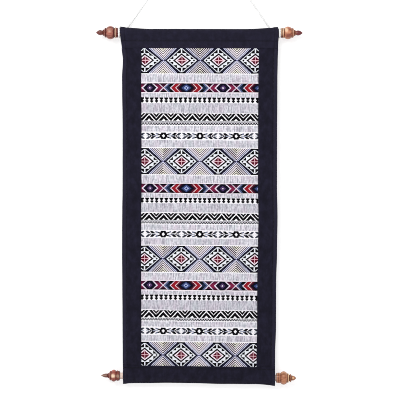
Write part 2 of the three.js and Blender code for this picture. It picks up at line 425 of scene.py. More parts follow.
def rope_along(bm, points, radius, sides=10, uneven=0.0):
    """Adds a rope on a curve through the points. Its strands may end a little apart."""
    line = Line(curve_through(points))
    strand = STRAND_SHARE * radius
    turns = line.length / (LAY * 2 * radius)
    steps = max(8, round(turns * STEPS_PER_TURN))
    rope = bmesh.new()
    for number in range(STRANDS):
        length = line.length - uneven * number / STRANDS
        ring = bmesh.ops.create_circle(rope, segments=sides, radius=strand, cap_ends=False)["verts"]
        bmesh.ops.translate(rope, verts=ring, vec=(radius - strand, 0, 0))
        start = Matrix.Rotation(2 * math.pi * number / STRANDS, 3, "Z")
        bmesh.ops.rotate(rope, verts=ring, cent=(0, 0, 0), matrix=start)
        bmesh.ops.spin(
            rope,
            geom=ring + list(dict.fromkeys(edge for vert in ring for edge in vert.link_edges)),
            cent=(0, 0, 0),
            axis=(0, 0, 1),
            dvec=(0, 0, length / steps),
            angle=2 * math.pi * turns * length / line.length,
            steps=steps,
        )
    bmesh.ops.holes_fill(rope, edges=[edge for edge in rope.edges if edge.is_boundary], sides=0)
    for vert in rope.verts:
        centre, ahead, side = line.at(vert.co.z)
        vert.co = centre + side * vert.co.x + ahead.cross(side) * vert.co.y
    bmesh.ops.recalc_face_normals(rope, faces=rope.faces)
    part = bpy.data.meshes.new("rope_part")
    rope.to_mesh(part)
    rope.free()
    bm.from_mesh(part)
    bpy.data.meshes.remove(part)
    return line


def knot_points(centre, size, lean=0.0):
    """An overhand knot pulled tight: the line of a trefoil, lying flat to the wall."""
    points = []
    for step in range(KNOT_STEPS + 1):
        angle = 2 * math.pi * step / KNOT_STEPS + lean
        reach = 2 + math.cos(3 * angle)
        points.append((
            centre[0] + size * reach * math.cos(2 * angle),
            centre[1] + size * math.sin(3 * angle),
            centre[2] + size * reach * math.sin(2 * angle),
        ))
    return points


print("rope ready")

# %% [markdown]
# ## Legs, ties and loop
#
# The two legs are the free cord. Each tie is the same cord taken once round the rod, in the gap between the
# cloth and the finial, and knotted behind with a short end left over. The hanging knot and its loop lie above
# the top of the picture, where the two legs meet on the nail.

# %% Cords
CORD_RADIUS = 2.5
SEAT = 0.3
ROD_RADIUS = 8
TOP_ROD_Z = -299
BOTTOM_ROD_Z = -1159
TOP_TILT = 0.0015  # fall to the right, per unit of width
BOTTOM_TILT = 0.0137
LEG_SAG = 1.6
LEG_POINTS = 17
TURN_RADIUS = ROD_RADIUS + SEAT + CORD_RADIUS
TURN_STEPS = 14
TURN_START = 12  # degrees from straight back, over the top
HANGING_KNOT = Vector((0, 0, -26))
HANGING_KNOT_HALF = Vector((7.5, 5, 8))
TIE_KNOT_HALF = Vector((6.5, 4.2, 6))
HANGING_KNOT_SIZE = 2.2
TIE_KNOT_SIZE = 1.75
TIE_KNOT_LEAN = 0.4
SHORT_END_BEND = (3.6, -314)  # y and z half way down a tie's short end
TIES = {
    "left": {"turn": -201.75, "knot": Vector((-194, 3.4, -302)), "end": Vector((-192.4, 1.4, -326))},
    "right": {"turn": 199.75, "knot": Vector((187, 3.4, -302.3)), "end": Vector((185.2, 1.2, -325))},
}
LOOP_POINTS = [
    (-2.6, 0, -22), (-5.6, 0, -16.5), (-7.6, 0, -10), (-7.2, 0, -3.6), (-4.3, 0, 0.9),
    (0, 0, CORD_RADIUS),
    (4.3, 0, 0.9), (7.2, 0, -3.6), (7.6, 0, -10), (5.6, 0, -16.5), (2.6, 0, -22),
]


def reach(half, direction):
    """From a knot's middle to the cord's end on its face, in that direction."""
    return Vector(a * b for a, b in zip(half, direction)).length + SEAT


def tie_points(turn, knot):
    """From the knot round the rod and back to the knot."""
    axis_z = TOP_ROD_Z - turn * TOP_TILT
    points = [knot + Vector((0, -1, 1.5))]
    for step in range(TURN_STEPS + 1):
        angle = math.radians(TURN_START + (360 - 2 * TURN_START) * step / TURN_STEPS)
        points.append((turn, ROD_Y + TURN_RADIUS * math.cos(angle), axis_z + TURN_RADIUS * math.sin(angle)))
    points.append(knot + Vector((0, -1, -1.5)))
    return points


loop_bm = bmesh.new()
rope_along(loop_bm, LOOP_POINTS, CORD_RADIUS)
rope_along(loop_bm, knot_points(HANGING_KNOT, HANGING_KNOT_SIZE), CORD_RADIUS)
loop_piece = make_piece(loop_bm, "hanging_loop_cord", [cord_cotton], ["cord_loop"])

for side, tie in TIES.items():
    knot = tie["knot"]
    tie_bm = bmesh.new()
    rope_along(tie_bm, tie_points(tie["turn"], knot), CORD_RADIUS)
    rope_along(tie_bm, knot_points(knot, TIE_KNOT_SIZE, TIE_KNOT_LEAN), 0.9 * CORD_RADIUS)
    middle = (knot + tie["end"]) / 2
    rope_along(tie_bm, [knot, (middle.x, *SHORT_END_BEND), tie["end"]], CORD_RADIUS, uneven=2.0)
    tie_piece = make_piece(tie_bm, "tie_cord_" + side, [cord_cotton], ["cord_tie_" + side])

    direction = (HANGING_KNOT - knot).normalized()
    low = knot + direction * reach(TIE_KNOT_HALF, direction)
    high = HANGING_KNOT - direction * reach(HANGING_KNOT_HALF, direction)
    leg_points = []
    for step in range(LEG_POINTS):
        part = step / (LEG_POINTS - 1)
        point = low.lerp(high, part)
        point.z -= LEG_SAG * 4 * part * (1 - part)
        leg_points.append(point)
    leg_bm = bmesh.new()
    leg_line = rope_along(leg_bm, leg_points, CORD_RADIUS)
    leg = make_piece(leg_bm, "leg_cord_" + side, [cord_cotton], ["cord_leg_" + side])
    print("leg", side, round(leg_line.length, 1), "mm")

# %% [markdown]
# ## How the cloth hangs
#
# The cloth flares at the top rod, narrows a little to the foot, falls slightly to the right, and swells and
# sinks by a millimetre or two between the rods. A cloth simulation would smooth all that away on a sheet
# held taut at both ends, so the same formulas as the frame's place each point of it instead.

# %% Hanging
CLOTH_HALF = 193.5
EDGE_ROWS = (
    # below the top rod, left edge, right edge
    (-16, -198.9, 194.4),
    (-6, -198.9, 196.9),
    (10, -198.4, 196.9),
    (38, -195.3, 195.8),
    (68, -192.3, 194.8),
    (113, -194.2, 194.0),
    (248, -193.0, 193.3),
    (383, -193.0, 192.8),
    (458, -193.7, 194.2),
    (548, -194.1, 193.0),
    (618, -193.7, 191.0),
    (728, -193.1, 190.5),
    (803, -192.7, 188.5),
    (880, -191.7, 188.0),
)
HANG_LENGTH = TOP_ROD_Z - BOTTOM_ROD_Z
BELLY_DEPTH = 1.5
EDGE_CURL = 1.6


def edges_at(below):
    """Left and right edge of the cloth at a depth below the top rod."""
    if below <= EDGE_ROWS[0][0]:
        return EDGE_ROWS[0][1:]
    for (high, left, right), (low, next_left, next_right) in zip(EDGE_ROWS, EDGE_ROWS[1:]):
        if below <= low:
            part = eased((below - high) / (low - high))
            return blend(left, next_left, part), blend(right, next_right, part)
    return EDGE_ROWS[-1][1:]


def drape_at(x, below):
    """How far back the cloth hangs there: a slow swell, and a curl that grows towards its edges."""
    part = min(max((below - 30) / (HANG_LENGTH - 60), 0), 1)
    loose = math.sin(math.pi * part) ** 0.7
    across = x / CLOTH_HALF
    belly = BELLY_DEPTH * math.cos(2.3 * across + 5.2 * part) * math.sin(7.5 * part + 0.6)
    curl = EDGE_CURL * across**4 * math.sin(9 * part + across)
    return loose * (belly + curl)


def hang(x, y, z):
    """Where a point of the straight, flat hanging comes to lie."""
    below = TOP_ROD_Z - z
    left, right = edges_at(below)
    tilt = blend(TOP_TILT, BOTTOM_TILT, min(max(below / HANG_LENGTH, 0), 1))
    across = (x + CLOTH_HALF) / (2 * CLOTH_HALF)
    return Vector((blend(left, right, across), y + drape_at(x, below), z - x * tilt))


print("edges half way down:", [round(edge, 1) for edge in edges_at(HANG_LENGTH / 2)])

# %% [markdown]
# ## Cutting cloth
#
# Each piece of cloth starts as a flat cut with a UV map in metres, like cloth on a table: across is U, and
# down from the top is V. Folding and hanging only move the points, so the weave stays with the threads. Cuts
# get extra lines of points where a seam or a row of stitches dents them.

# %% Cloth cuts
CLOTH_THICKNESS = 1.2
DOUBLED = 1.7  # a pressed hem, in thicknesses


def cut_cloth(width, length, column, row, extra_across=(), extra_down=()):
    """A flat cut: x runs across from -width / 2, y runs down from 0 as a negative number."""
    bm = bmesh.new()
    bmesh.ops.create_grid(bm, x_segments=round(width / column), y_segments=round(length / row), size=0.5)
    bmesh.ops.translate(bm, verts=bm.verts, vec=(0, -0.5, 0))
    bmesh.ops.scale(bm, vec=(width, length, 1), verts=bm.verts)
    lines = [((x, 0, 0), (1, 0, 0)) for x in extra_across] + [((0, -y, 0), (0, 1, 0)) for y in extra_down]
    for place, normal in lines:
        everything = bm.verts[:] + bm.edges[:] + bm.faces[:]
        bmesh.ops.bisect_plane(bm, geom=everything, plane_co=place, plane_no=normal, dist=0.05)
    uv = bm.loops.layers.uv.new("cloth")
    for face in bm.faces:
        for loop in face.loops:
            loop[uv].uv = (loop.vert.co.x * MM, -loop.vert.co.y * MM)
    return bm


def thicken(piece, thickness=CLOTH_THICKNESS, back_material=0, weights=None):
    """Gives a sheet its thickness, half to each side."""
    solid = piece.modifiers.new("thickness", "SOLIDIFY")
    solid.thickness = thickness * MM
    solid.offset = 0
    solid.use_even_offset = True
    solid.material_offset = back_material
    solid.use_quality_normals = True
    if weights:
        solid.vertex_group = weights
        solid.thickness_vertex_group = 1 / DOUBLED


print("cloth cuts ready")

# %% [markdown]
# ## Plain weave
#
# Both cloths are plain weaves: each thread passes over one and under the next. The group turns a place on
# the cloth into the height of the threads there and a shade that differs from thread to thread, because no
# two yarns take the dye alike. It is built once, and each cloth gives it its own thread spacing.

# %% Weave group
weave, weave_in, weave_out = new_group(
    "plain_weave",
    [("Vector", "NodeSocketVector"), ("Spacing", "NodeSocketFloat")],
    [("Height", "NodeSocketFloat"), ("Warp shade", "NodeSocketFloat"), ("Weft shade", "NodeSocketFloat")],
)
split = weave.nodes.new("ShaderNodeSeparateXYZ")
weave.links.new(weave_in.outputs["Vector"], split.inputs[0])
spacing = Field(weave, weave_in.outputs["Spacing"])
across = Field(weave, split.outputs["X"]) / spacing
down = Field(weave, split.outputs["Y"]) / spacing
over = (across.floor() + down.floor()).folded(1)
warp_round = abs((across * math.pi).sine())
weft_round = abs((down * math.pi).sine())
height = warp_round * over + weft_round * (1 - over)
weave.links.new(height.socket, weave_out.inputs["Height"])
for label, factors in (("Warp shade", (1, 0.02, 1)), ("Weft shade", (0.02, 1, 1))):
    scaled = weave.nodes.new("ShaderNodeVectorMath")
    scaled.operation = "DIVIDE"
    weave.links.new(weave_in.outputs["Vector"], scaled.inputs[0])
    weave.links.new(weave_in.outputs["Spacing"], scaled.inputs[1])
    yarns = noise_field(weave, stretched(weave, scaled.outputs[0], factors), 0.6, detail=3, roughness=0.7)
    weave.links.new(contrast(yarns, 0.3, 0.7).socket, weave_out.inputs[label])
print("weave group:", len(weave.nodes), "nodes")

# %% [markdown]
# ## Navy cotton
#
# The border is a dense navy cotton, nearly black. What shows at a step's distance is its faint unevenness:
# slubs along both thread directions and a touch of paler wear on the doubled hems. The whole top strip is
# made paler as painted light from above, and the lines where stitches pull the cloth in are darkened as
# painted shade. Two attributes of the cloth, one for the hems and top strip and one for the grooves, say
# where those are.

# %% Navy finish
NAVY_THREAD = 0.6
navy_cotton, tree, shader = new_material("navy_cotton", roughness=0.9, specular=0.12, sheen=0.03)
place = cloth_place(tree)
threads = placed_group(tree, weave, place, Spacing=NAVY_THREAD * MM)
clouds = contrast(noise_field(tree, place, 22, detail=4, roughness=0.65), 0.35, 0.65)
heather = noise_field(tree, stretched(tree, place, (70, 46, 1)), 1.0, detail=3, roughness=0.6)
navy = Picture(tree, dye(23, 21, 35))
navy.paint(clouds, dye(29, 27, 42))
navy.paint(Field(tree, threads.outputs["Warp shade"]) * 0.5, dye(32, 30, 47))
navy.paint(Field(tree, threads.outputs["Weft shade"]) * 0.4, dye(22, 20, 33))
navy.paint(contrast(heather, 0.5, 0.66) * 0.4, dye(40, 38, 58))
navy.paint(contrast(heather, 0.5, 0.34) * 0.4, dye(13, 12, 20))
# Paler hems from wear, and on the top strip also painted light from above.
navy.paint(own_attribute(tree, "hem_wear_and_top_light") * 0.45, dye(46, 44, 62))
# Painted shade in the stitch grooves.
navy.paint(own_attribute(tree, "groove") * 0.8, dye(10, 9, 14))
tree.links.new(navy.colour, shader.inputs["Base Color"])
bumped(tree, shader, Field(tree, threads.outputs["Height"]), 0.12)
print("navy finish ready")

# %% [markdown]
# ## The woven pattern
#
# The panel carries bands of coloured yarn floated over a pale ground: large stepped diamonds, a red and navy
# band, a row of small hourglasses, a zigzag and a row of flowers. On the loom a chart says which threads
# lift. Here each band is a short formula in millimetres of cloth, folded on its repeat, and painted band
# over band. Places are held level over each thread, so slanted lines have the small steps of weaving.
#
# Three numbers are read in every band: `rise` or `fall` is the distance from the middle or the top of its
# row, `side`, `aside` or `along` is the distance from the middle of the figure, and a slanted edge is a sum
# of the two. Each ROWS line says how far below the panel's top the bands of one kind lie.

# %% Chart helpers
THREAD = 0.8
WHITE = dye(246, 244, 248)
BLACK = dye(7, 7, 10)
INK = dye(20, 21, 42)
LILAC = dye(230, 216, 232)


def from_nearest(down, rows):
    """Distance down from the nearest of those rows, less than nought above it."""
    shift = None
    for start, end in zip(rows, rows[1:]):
        step = (down > (start + end) / 2) * (end - start)
        shift = step if shift is None else shift + step
    return down - rows[0] - shift


def in_diamond(side, rise, half_width, half_height):
    """Mask of a diamond with those half sizes, round the figure's middle."""
    return side / half_width + rise / half_height < 1


print("chart helpers ready")

# %% [markdown]
# ### Large diamonds
#
# The widest band has diamonds side by side, each with a dark outline and flat ends. Stair steps cut the
# corners of the pale field inside, round a thin dark ring and a small red heart with a pink cross. Fine dark
# chevrons fill the triangles between two diamonds. Typing a chart square by square would take thousands of
# numbers. Sums of two distances draw the same steps, and each of them is easy to change.


# %% Diamond band
REPEAT = 91.75
DIAMOND_ROWS = (30.75, 283.25, 527.25, 768)
DIAMOND_HALF = 32.8
OUTLINE_SLOPE = 1.05
OUTLINE_REACH = 43.4  # of the dark outline, from the diamond's middle
TIP_HALF = 10.6  # half the flat end of the outline
TIP_RISE = 29.6
CHEVRON_PITCH = 5.6
CHEVRON_TINTS = (dye(222, 223, 244), dye(250, 240, 248), dye(250, 246, 232))  # from the outline inwards
CHEVRON_LINE = dye(13, 9, 17)
CROSSED_LINES = dye(62, 59, 98)
CROSSING_DOT = dye(128, 128, 172)
WEDGES = ((21.5, 3.5), (11.5, 11.7), (1.7, 18.1))  # inner corners, from the diamond's middle
CORNER_FLECK = (30.2, 2.8)  # place and half size of the small dark fleck in a side corner
RING = (18.75, 14.9)  # half width and half height of the thin dark ring
RING_WHITE = dye(246, 232, 242)
HEART_RED = dye(88, 14, 34)
CROSS_PINK = dye(236, 190, 200)


def paint_diamonds(picture, across, down):
    rise = abs(from_nearest(down, DIAMOND_ROWS))
    gap = across.folded(REPEAT / 2)
    side = REPEAT / 2 - gap
    chevron = (rise - gap) / CHEVRON_PITCH
    band = Picture(picture.tree, CHEVRON_TINTS[0])
    band.paint(contrast(chevron, 0, 1.6), CHEVRON_TINTS[1])
    band.paint(contrast(chevron, 2.5, 4.5), CHEVRON_TINTS[2])
    lines = (chevron + 0.65).fraction().between(0.26, 0.74) & (chevron > 0.36)
    band.paint(lines, CHEVRON_LINE)
    band.paint((rise - gap).between(-1.5, 0.7), CROSSED_LINES)
    outline = side + rise * OUTLINE_SLOPE < OUTLINE_REACH
    crossing = (gap < 3.4) & (rise < 1.6)
    band.paint(outline | crossing, INK)
    band.paint((gap < 1.6) & (rise < 1.6), CROSSING_DOT)
    band.paint(in_diamond(side, rise, 37.4, 32), dye(234, 237, 243))
    band.paint((side < TIP_HALF) & (rise > TIP_RISE), BLACK)
    inner = in_diamond(side, rise, 34.6, 29.8)
    for corner_side, corner_rise in WEDGES:
        band.paint((side > corner_side) & (rise > corner_rise) & inner, BLACK)
    band.paint(abs(side - CORNER_FLECK[0]) + rise < CORNER_FLECK[1], BLACK)
    ring = side / RING[0] + rise / RING[1]
    band.paint(ring < 1.21, dye(12, 8, 12))
    band.paint(ring < 0.91, RING_WHITE)
    band.paint(in_diamond(side, rise, 12, 10.6), HEART_RED)
    cross = (side < 0.9) | (rise < 0.9)
    band.paint(cross & in_diamond(side, rise, 11, 9.6), CROSS_PINK)
    picture.paint(rise < DIAMOND_HALF + 2.4, WHITE)
    picture.paint(rise < DIAMOND_HALF, band.colour)


print("diamond bands:", len(DIAMOND_ROWS))

# %% [markdown]
# ### Red and navy band
#
# Small plum diamonds and large blue ones take turns here, and pale, red and dark arrows lead from one to the
# next. `back` and `ahead` are distances measured along a slant, so one comparison draws a whole row of arrow
# heads, and the two pale threads cross where the slants meet.


# %% Red and navy band
RED_ROWS = (99.4, 350.75, 593.4)
RED_HALF = 11.3
RED_START = -124.6  # middle of a small diamond
RED_REPEAT = 182.5
RED_SLOPE = 1.05
CROSSING = 33.9  # where two pale threads cross, from the small diamond's middle
PALE_THREAD = 1.4  # half the width of the crossing threads
DEEP_BLUE = dye(26, 38, 64)
ARROW_STEPS = (
    # from the small diamond towards the large one: start, colour
    (50.2, LILAC),
    (52.9, dye(148, 26, 38)),
    (63.4, dye(236, 206, 212)),
    (65.8, dye(84, 20, 38)),
    (71, dye(14, 13, 30)),
)
EYES = (
    # in the middle of the large diamond: half width, half height, colour
    (12.4, 9, dye(60, 74, 126)),
    (6, 5.2, dye(176, 192, 230)),
    (3.2, 2.8, dye(40, 50, 110)),
)
MAROON = dye(66, 22, 46)
PLUM = dye(124, 34, 68)
DARK_PLUM = dye(78, 24, 52)
VIOLET = dye(82, 58, 104)


def paint_red_band(picture, across, down):
    rise = abs(from_nearest(down, RED_ROWS))
    along = (across - RED_START).folded(RED_REPEAT / 2)
    slant = rise * RED_SLOPE
    ahead = along + slant
    back = along - slant
    band = Picture(picture.tree, dye(88, 102, 140))
    band.paint(back > 40, DEEP_BLUE)
    band.paint((back > 40) & (rise > 4.4), BLACK)
    for start, colour in ARROW_STEPS:
        band.paint(back > start, colour)
    centre = RED_REPEAT / 2 - along
    for half_width, half_height, colour in EYES:
        band.paint(in_diamond(centre, rise, half_width, half_height), colour)
    band.paint(back < CROSSING, MAROON)
    band.paint((back < CROSSING) & (rise > 8), BLACK)
    band.paint(ahead < CROSSING, PLUM)
    band.paint((ahead < CROSSING) & (rise > 5.6), DARK_PLUM)
    band.paint(abs(abs(along - CROSSING) - slant) < PALE_THREAD, LILAC)
    band.paint(ahead < 21, LILAC)
    band.paint(ahead < 17.2, dye(16, 14, 32))
    band.paint(ahead.between(2.6, 7.4), VIOLET)
    band.paint(ahead < 2.2, WHITE)
    band.paint((rise > 9.2) * 0.5, BLACK)
    picture.paint(rise < RED_HALF + 2.2, dye(248, 238, 246))
    picture.paint(rise < RED_HALF, band.colour)


print("red and navy bands:", len(RED_ROWS))

# %% [markdown]
# ### Narrow rows
#
# Three narrow rows are woven in black on white. Hourglasses stand close together, a zigzag of three lines
# runs right across, and below it lies a fine row of dots over small feet. Each is so low that a few masks
# are enough.


# %% Hourglass, zigzag and dotted rows
HOURGLASS_ROWS = (129.75, 380.6, 623.1)
HOURGLASS_PITCH = 12.0
HOURGLASS_HALF = 6
ZIGZAG_ROWS = (172, 421, 664.5)
ZIGZAG_HALF = 8.8
ZIGZAG_REPEAT = 36.2
ZIGZAG_START = -18.25  # a peak
ZIGZAG_SLOPE = 0.92
ZIGZAG_FOOT = 18.6
DOT_ROWS = (188, 435.5, 677.9)
DOT_TOP = -5.4
DOT_FOOT = 3.9
DOT_PITCH = 6.6


def paint_hourglasses(picture, across, down):
    fall = from_nearest(down, HOURGLASS_ROWS) + HOURGLASS_HALF
    aside = across.folded(HOURGLASS_PITCH / 2)
    upper = (aside < 4.7) & (aside + fall * 0.75 < 6.6) & fall.between(-0.3, 5.3)
    neck = (aside < 1.3) & fall.between(5.2, 7.2)
    lower = (aside < 3.9) & (aside + fall < 13.4) & (fall > 7)
    picture.paint(fall.between(-0.8, 2 * HOURGLASS_HALF + 1.6), WHITE)
    picture.paint(upper | neck | lower, BLACK)


def paint_zigzag(picture, across, down):
    fall = from_nearest(down, ZIGZAG_ROWS) + ZIGZAG_HALF
    aside = (across - ZIGZAG_START).folded(ZIGZAG_REPEAT / 2)
    slant = aside - fall * ZIGZAG_SLOPE
    lines = slant.between(-0.4, 6.9) | slant.between(8.9, 14.4) | slant.between(-12, -3.6)
    picture.paint(fall.between(-1.6, ZIGZAG_FOOT + 0.8), WHITE)
    picture.paint(lines & fall.between(0.2, ZIGZAG_FOOT), BLACK)


def paint_dots(picture, across, down):
    rise = from_nearest(down, DOT_ROWS)
    aside = across.folded(DOT_PITCH / 2)
    band = Picture(picture.tree, dye(186, 185, 191))
    band.paint((aside < 1.8) & (rise < -2.8), dye(152, 151, 158))
    band.paint(rise > -1.3, dye(222, 221, 227))
    band.paint((aside > 1.2) & rise.between(-1.3, 1.3), dye(20, 20, 24))
    band.paint((aside < 2.1) & (rise > 1.3), dye(22, 22, 26))
    band.paint(rise > DOT_FOOT, WHITE)
    picture.paint(rise.between(DOT_TOP, DOT_FOOT + 2.2), band.colour)


print("narrow rows:", len(HOURGLASS_ROWS + ZIGZAG_ROWS + DOT_ROWS))

# %% [markdown]
# ### Flowers
#
# The last band is a row of flowers with a white eye, four black petals and two pairs of slanted leaves on a
# thin grey stem. Both halves of a flower are alike, so the folded distances draw one quarter for all four.


# %% Flower band
FLOWER_ROWS = (219.6, 465.5, 707.5)
FLOWER_HALF = 8.4
FLOWER_REPEAT = 91
LEAF_SLOPE = 1.3
STEM_HALF = 1
LEAF_SHADE = dye(66, 69, 82)
ARM_SHADE = dye(98, 106, 132)


def paint_flowers(picture, across, down):
    rise = abs(from_nearest(down, FLOWER_ROWS))
    along = across.folded(FLOWER_REPEAT / 2)
    leaf = along - rise * LEAF_SLOPE
    band = Picture(picture.tree, WHITE)
    band.paint((rise < STEM_HALF) & along.between(36, 43), dye(178, 182, 196))
    band.paint((rise < STEM_HALF) & along.between(12, 26), dye(160, 165, 184))
    band.paint((rise < STEM_HALF) & along.between(26, 33.5), dye(74, 76, 86))
    outer_leaf = leaf.between(28.4, 36.4)
    band.paint(leaf.between(16.8, 25.9) & rise.between(1.2, 7.6) & (along < 32.2), BLACK)
    band.paint(outer_leaf & rise.between(1.2, 7.8) & (along < 43.8), LEAF_SHADE)
    band.paint(outer_leaf & rise.between(1.2, 4), dye(30, 32, 42))
    arm = abs(rise - along * 0.3 - 0.2) < 1.75
    band.paint(arm & (along < 19.2), ARM_SHADE)
    band.paint(arm & (along < 14), BLACK)
    band.paint(along + rise * 0.5 < 9.6, BLACK)
    band.paint((along < 5.7) & (rise < FLOWER_HALF), BLACK)
    band.paint(in_diamond(along, rise, 4, 4.9), WHITE)
    picture.paint(rise < FLOWER_HALF + 2.2, WHITE)
    picture.paint(rise < FLOWER_HALF, band.colour)


print("flower bands:", len(FLOWER_ROWS))

# %% [markdown]
# ## Ground of the panel
#
# Between the bands lies the plain ground, a pale greyed lavender. It is not even: single warp threads run
# through it as fine upright streaks, and the dye drifts a little to pink, blue and green. Those streaks are
# most of what the eye reads as hand-woven at a step's distance, so they get more care than the weave itself.
# Below the hourglasses, and less so below the flowers, the ground is a shade greyer.

# %% Brocade chart group
WAVER_ACROSS = 1.6
WAVER_DOWN = 2.0
GROUND_GREY = dye(150, 148, 160)

chart, chart_in, chart_out = new_group(
    "brocade_chart",
    [("Vector", "NodeSocketVector")],
    [("Colour", "NodeSocketColor"), ("Float", "NodeSocketFloat")],
)
vector = chart_in.outputs["Vector"]
split = chart.nodes.new("ShaderNodeSeparateXYZ")
chart.links.new(vector, split.inputs[0])
waver_across = noise_field(chart, vector, 38, detail=1) - 0.5
waver_down = noise_field(chart, stretched(chart, vector, (1, 1.3, 1), (0, 0, 70)), 30, detail=1) - 0.5
across = (Field(chart, split.outputs["X"]) / MM + waver_across * WAVER_ACROSS).stepped(THREAD)
down = (Field(chart, split.outputs["Y"]) / MM + waver_down * WAVER_DOWN).stepped(THREAD)

streaks = noise_field(chart, stretched(chart, vector, (330, 42, 1)), 1.0, detail=2, roughness=0.6)
slubs = noise_field(chart, stretched(chart, vector, (300, 190, 1)), 1.0, detail=1)
drift = noise_field(chart, stretched(chart, vector, (60, 30, 1)), 1.0, detail=2)
picture = Picture(chart, dye(236, 233, 242))
picture.paint(contrast(streaks, 0.4, 0.62), dye(162, 160, 172))
picture.paint(contrast(slubs, 0.5, 0.7) * 0.5, GROUND_GREY)
picture.paint(contrast(slubs, 0.5, 0.3) * 0.5, dye(244, 241, 248))
picture.paint(contrast(drift, 0.5, 0.72) * 0.5, dye(214, 196, 212))
picture.paint(contrast(drift, 0.5, 0.28) * 0.4, dye(196, 208, 212))
under_hourglasses = from_nearest(down, HOURGLASS_ROWS).between(8, 32)
picture.paint(under_hourglasses * 0.2, GROUND_GREY)
under_flowers = from_nearest(down, FLOWER_ROWS).between(9, 31)
picture.paint(under_flowers * 0.1, GROUND_GREY)
for paint_band in (
    paint_diamonds, paint_red_band, paint_hourglasses, paint_dots, paint_zigzag, paint_flowers,
):
    paint_band(picture, across, down)
yarn_shade = noise_field(chart, stretched(chart, vector, (300, 900, 1)), 1.0, detail=2)
shaded = mixed(chart, contrast(yarn_shade, 0.3, 0.7) * 0.1, picture.colour, dye(50, 48, 56))
chart.links.new(shaded, chart_out.inputs["Colour"])
grey = chart.nodes.new("ShaderNodeRGBToBW")
chart.links.new(picture.colour, grey.inputs[0])
chart.links.new((1 - Field(chart, grey.outputs[0])).socket, chart_out.inputs["Float"])
print("brocade chart:", len(chart.nodes), "nodes")

# %% [markdown]
# ## Face and back of the brocade
#
# The floats of a brocade show their full colour on the face only. The back could have a chart of its own, but
# it is the same yarn seen from behind, so it gets the same chart under pale streaks that run across it.


# %% Brocade finish, face and back
def brocade(name, fade):
    """The panel's cloth. On its back the floats lie the other way, so the pattern is faded there."""
    material, tree, shader = new_material(name, roughness=0.9, specular=0.03, sheen=0.0)
    place = cloth_place(tree)
    painted = placed_group(tree, chart, place)
    threads = placed_group(tree, weave, place, Spacing=THREAD * MM)
    colour = painted.outputs["Colour"]
    if fade:
        streak = noise_field(tree, stretched(tree, place, (20, 700, 1)), 1.0, detail=3)
        colour = mixed(tree, contrast(streak, 0.3, 0.6) * fade, colour, dye(196, 193, 203))
    tree.links.new(colour, shader.inputs["Base Color"])
    relief = Field(tree, threads.outputs["Height"]) * 0.5 + Field(tree, painted.outputs["Float"]) * 0.5
    bumped(tree, shader, relief, 0.25)
    return material


brocade_face = brocade("brocade_face", fade=0)
brocade_back = brocade("brocade_back", fade=0.8)
print("brocade finish ready")

# %% [markdown]
# ## Woven panel
#
# The panel is one rectangle of brocade, seamed into the border on all four sides. At each seam its edge
# turns down behind the border and lies there as the seam allowance, so no light shows between them. The
# bands of pattern are a little thicker than the ground, and small puckers run in from the seams.

# %% Panel
PANEL_HALF = 146.5
PANEL_TOP = -337.5
PANEL_BOTTOM = -1133
PANEL_LENGTH = PANEL_TOP - PANEL_BOTTOM
ALLOWANCE = 7.5
ALLOWANCE_DEPTH = 2.8  # the seam allowance lies this far behind the face
SEAM_EASE = 1.5
SEAM_LINES = (-0.8, -0.1, 0.7)  # extra lines of points across each seam
PANEL_GRID = 2.9
PANEL_THICKNESS = 1.1
BAND_RISE = 0.25
PUCKER_DEPTH = 0.45
PUCKER_REACH = 12
BANDS = (
    [(row, DIAMOND_HALF) for row in DIAMOND_ROWS]
    + [(row, RED_HALF) for row in RED_ROWS]
    + [(row, ZIGZAG_HALF) for row in ZIGZAG_ROWS]
    + [(row, FLOWER_HALF) for row in FLOWER_ROWS]
)


def seam_drop(beyond):
    """How far back the cloth lies at a distance past its seam."""
    return ALLOWANCE_DEPTH * eased((beyond + SEAM_EASE) / (1.5 * SEAM_EASE))


def seam_rows(beyond):
    """Places, down a cut that runs on that far at both ends, of the extra lines along its two seams."""
    return [beyond - step for step in SEAM_LINES] + [beyond + PANEL_LENGTH + step for step in SEAM_LINES]


def panel_depth(x, v):
    """Depth of the panel's middle, back from its plane."""
    beyond = max(abs(x) - PANEL_HALF, -v, v - PANEL_LENGTH)
    band = max(eased((half + 1.5 - abs(v - row)) / 3) for row, half in BANDS)
    pucker = noise.noise(Vector((x / 9, v / 9, 3.1))) * PUCKER_DEPTH * math.exp(-abs(beyond) / PUCKER_REACH)
    slack = noise.noise(Vector((x / 70, v / 45, 8.4))) * 0.5
    return seam_drop(beyond) - BAND_RISE * band + pucker + slack * eased(-beyond / 20)


panel_bm = cut_cloth(
    2 * (PANEL_HALF + ALLOWANCE),
    PANEL_LENGTH + 2 * ALLOWANCE,
    column=PANEL_GRID,
    row=PANEL_GRID,
    extra_across=[way * (PANEL_HALF + step) for way in (-1, 1) for step in SEAM_LINES],
    extra_down=seam_rows(ALLOWANCE),
)
uv = panel_bm.loops.layers.uv.active
for face in panel_bm.faces:
    for loop in face.loops:
        loop[uv].uv.y -= ALLOWANCE * MM
for vert in panel_bm.verts:
    x, v = vert.co.x, -vert.co.y - ALLOWANCE
    vert.co = hang(x, ROD_Y + panel_depth(x, v), PANEL_TOP - v)
panel = make_piece(panel_bm, "brocade_panel", [brocade_face, brocade_back], ["woven_panel"])
thicken(panel, thickness=PANEL_THICKNESS, back_material=1)

# %% [markdown]
# ## Navy border
#
# The top and bottom strips each fold over a rod and are stitched to themselves, which makes a tunnel; the
# side strips have a turned hem. Every strip's edge at the panel is turned under. So each is one cut of cloth
# that follows a line in its section, read by distance, and the layers come out at their true places.

# %% Sections of the strips
WRAP_RADIUS = 9.0  # middle of the cloth, round the rod
LAYERS_MEET = 19.5  # from the rod's axis to where the two layers meet
STITCH_ROW = LAYERS_MEET + 0.8
LAYER_STEP = 1.3  # from the middle of one layer to the next
HEM_WIDTH = 10
TURN = 0.62  # radius of a turned edge
ROLL = 0.75  # radius of a fold over a second layer
FOLD_DROP = 15.3  # the pressed fold at the foot, below the rod's axis


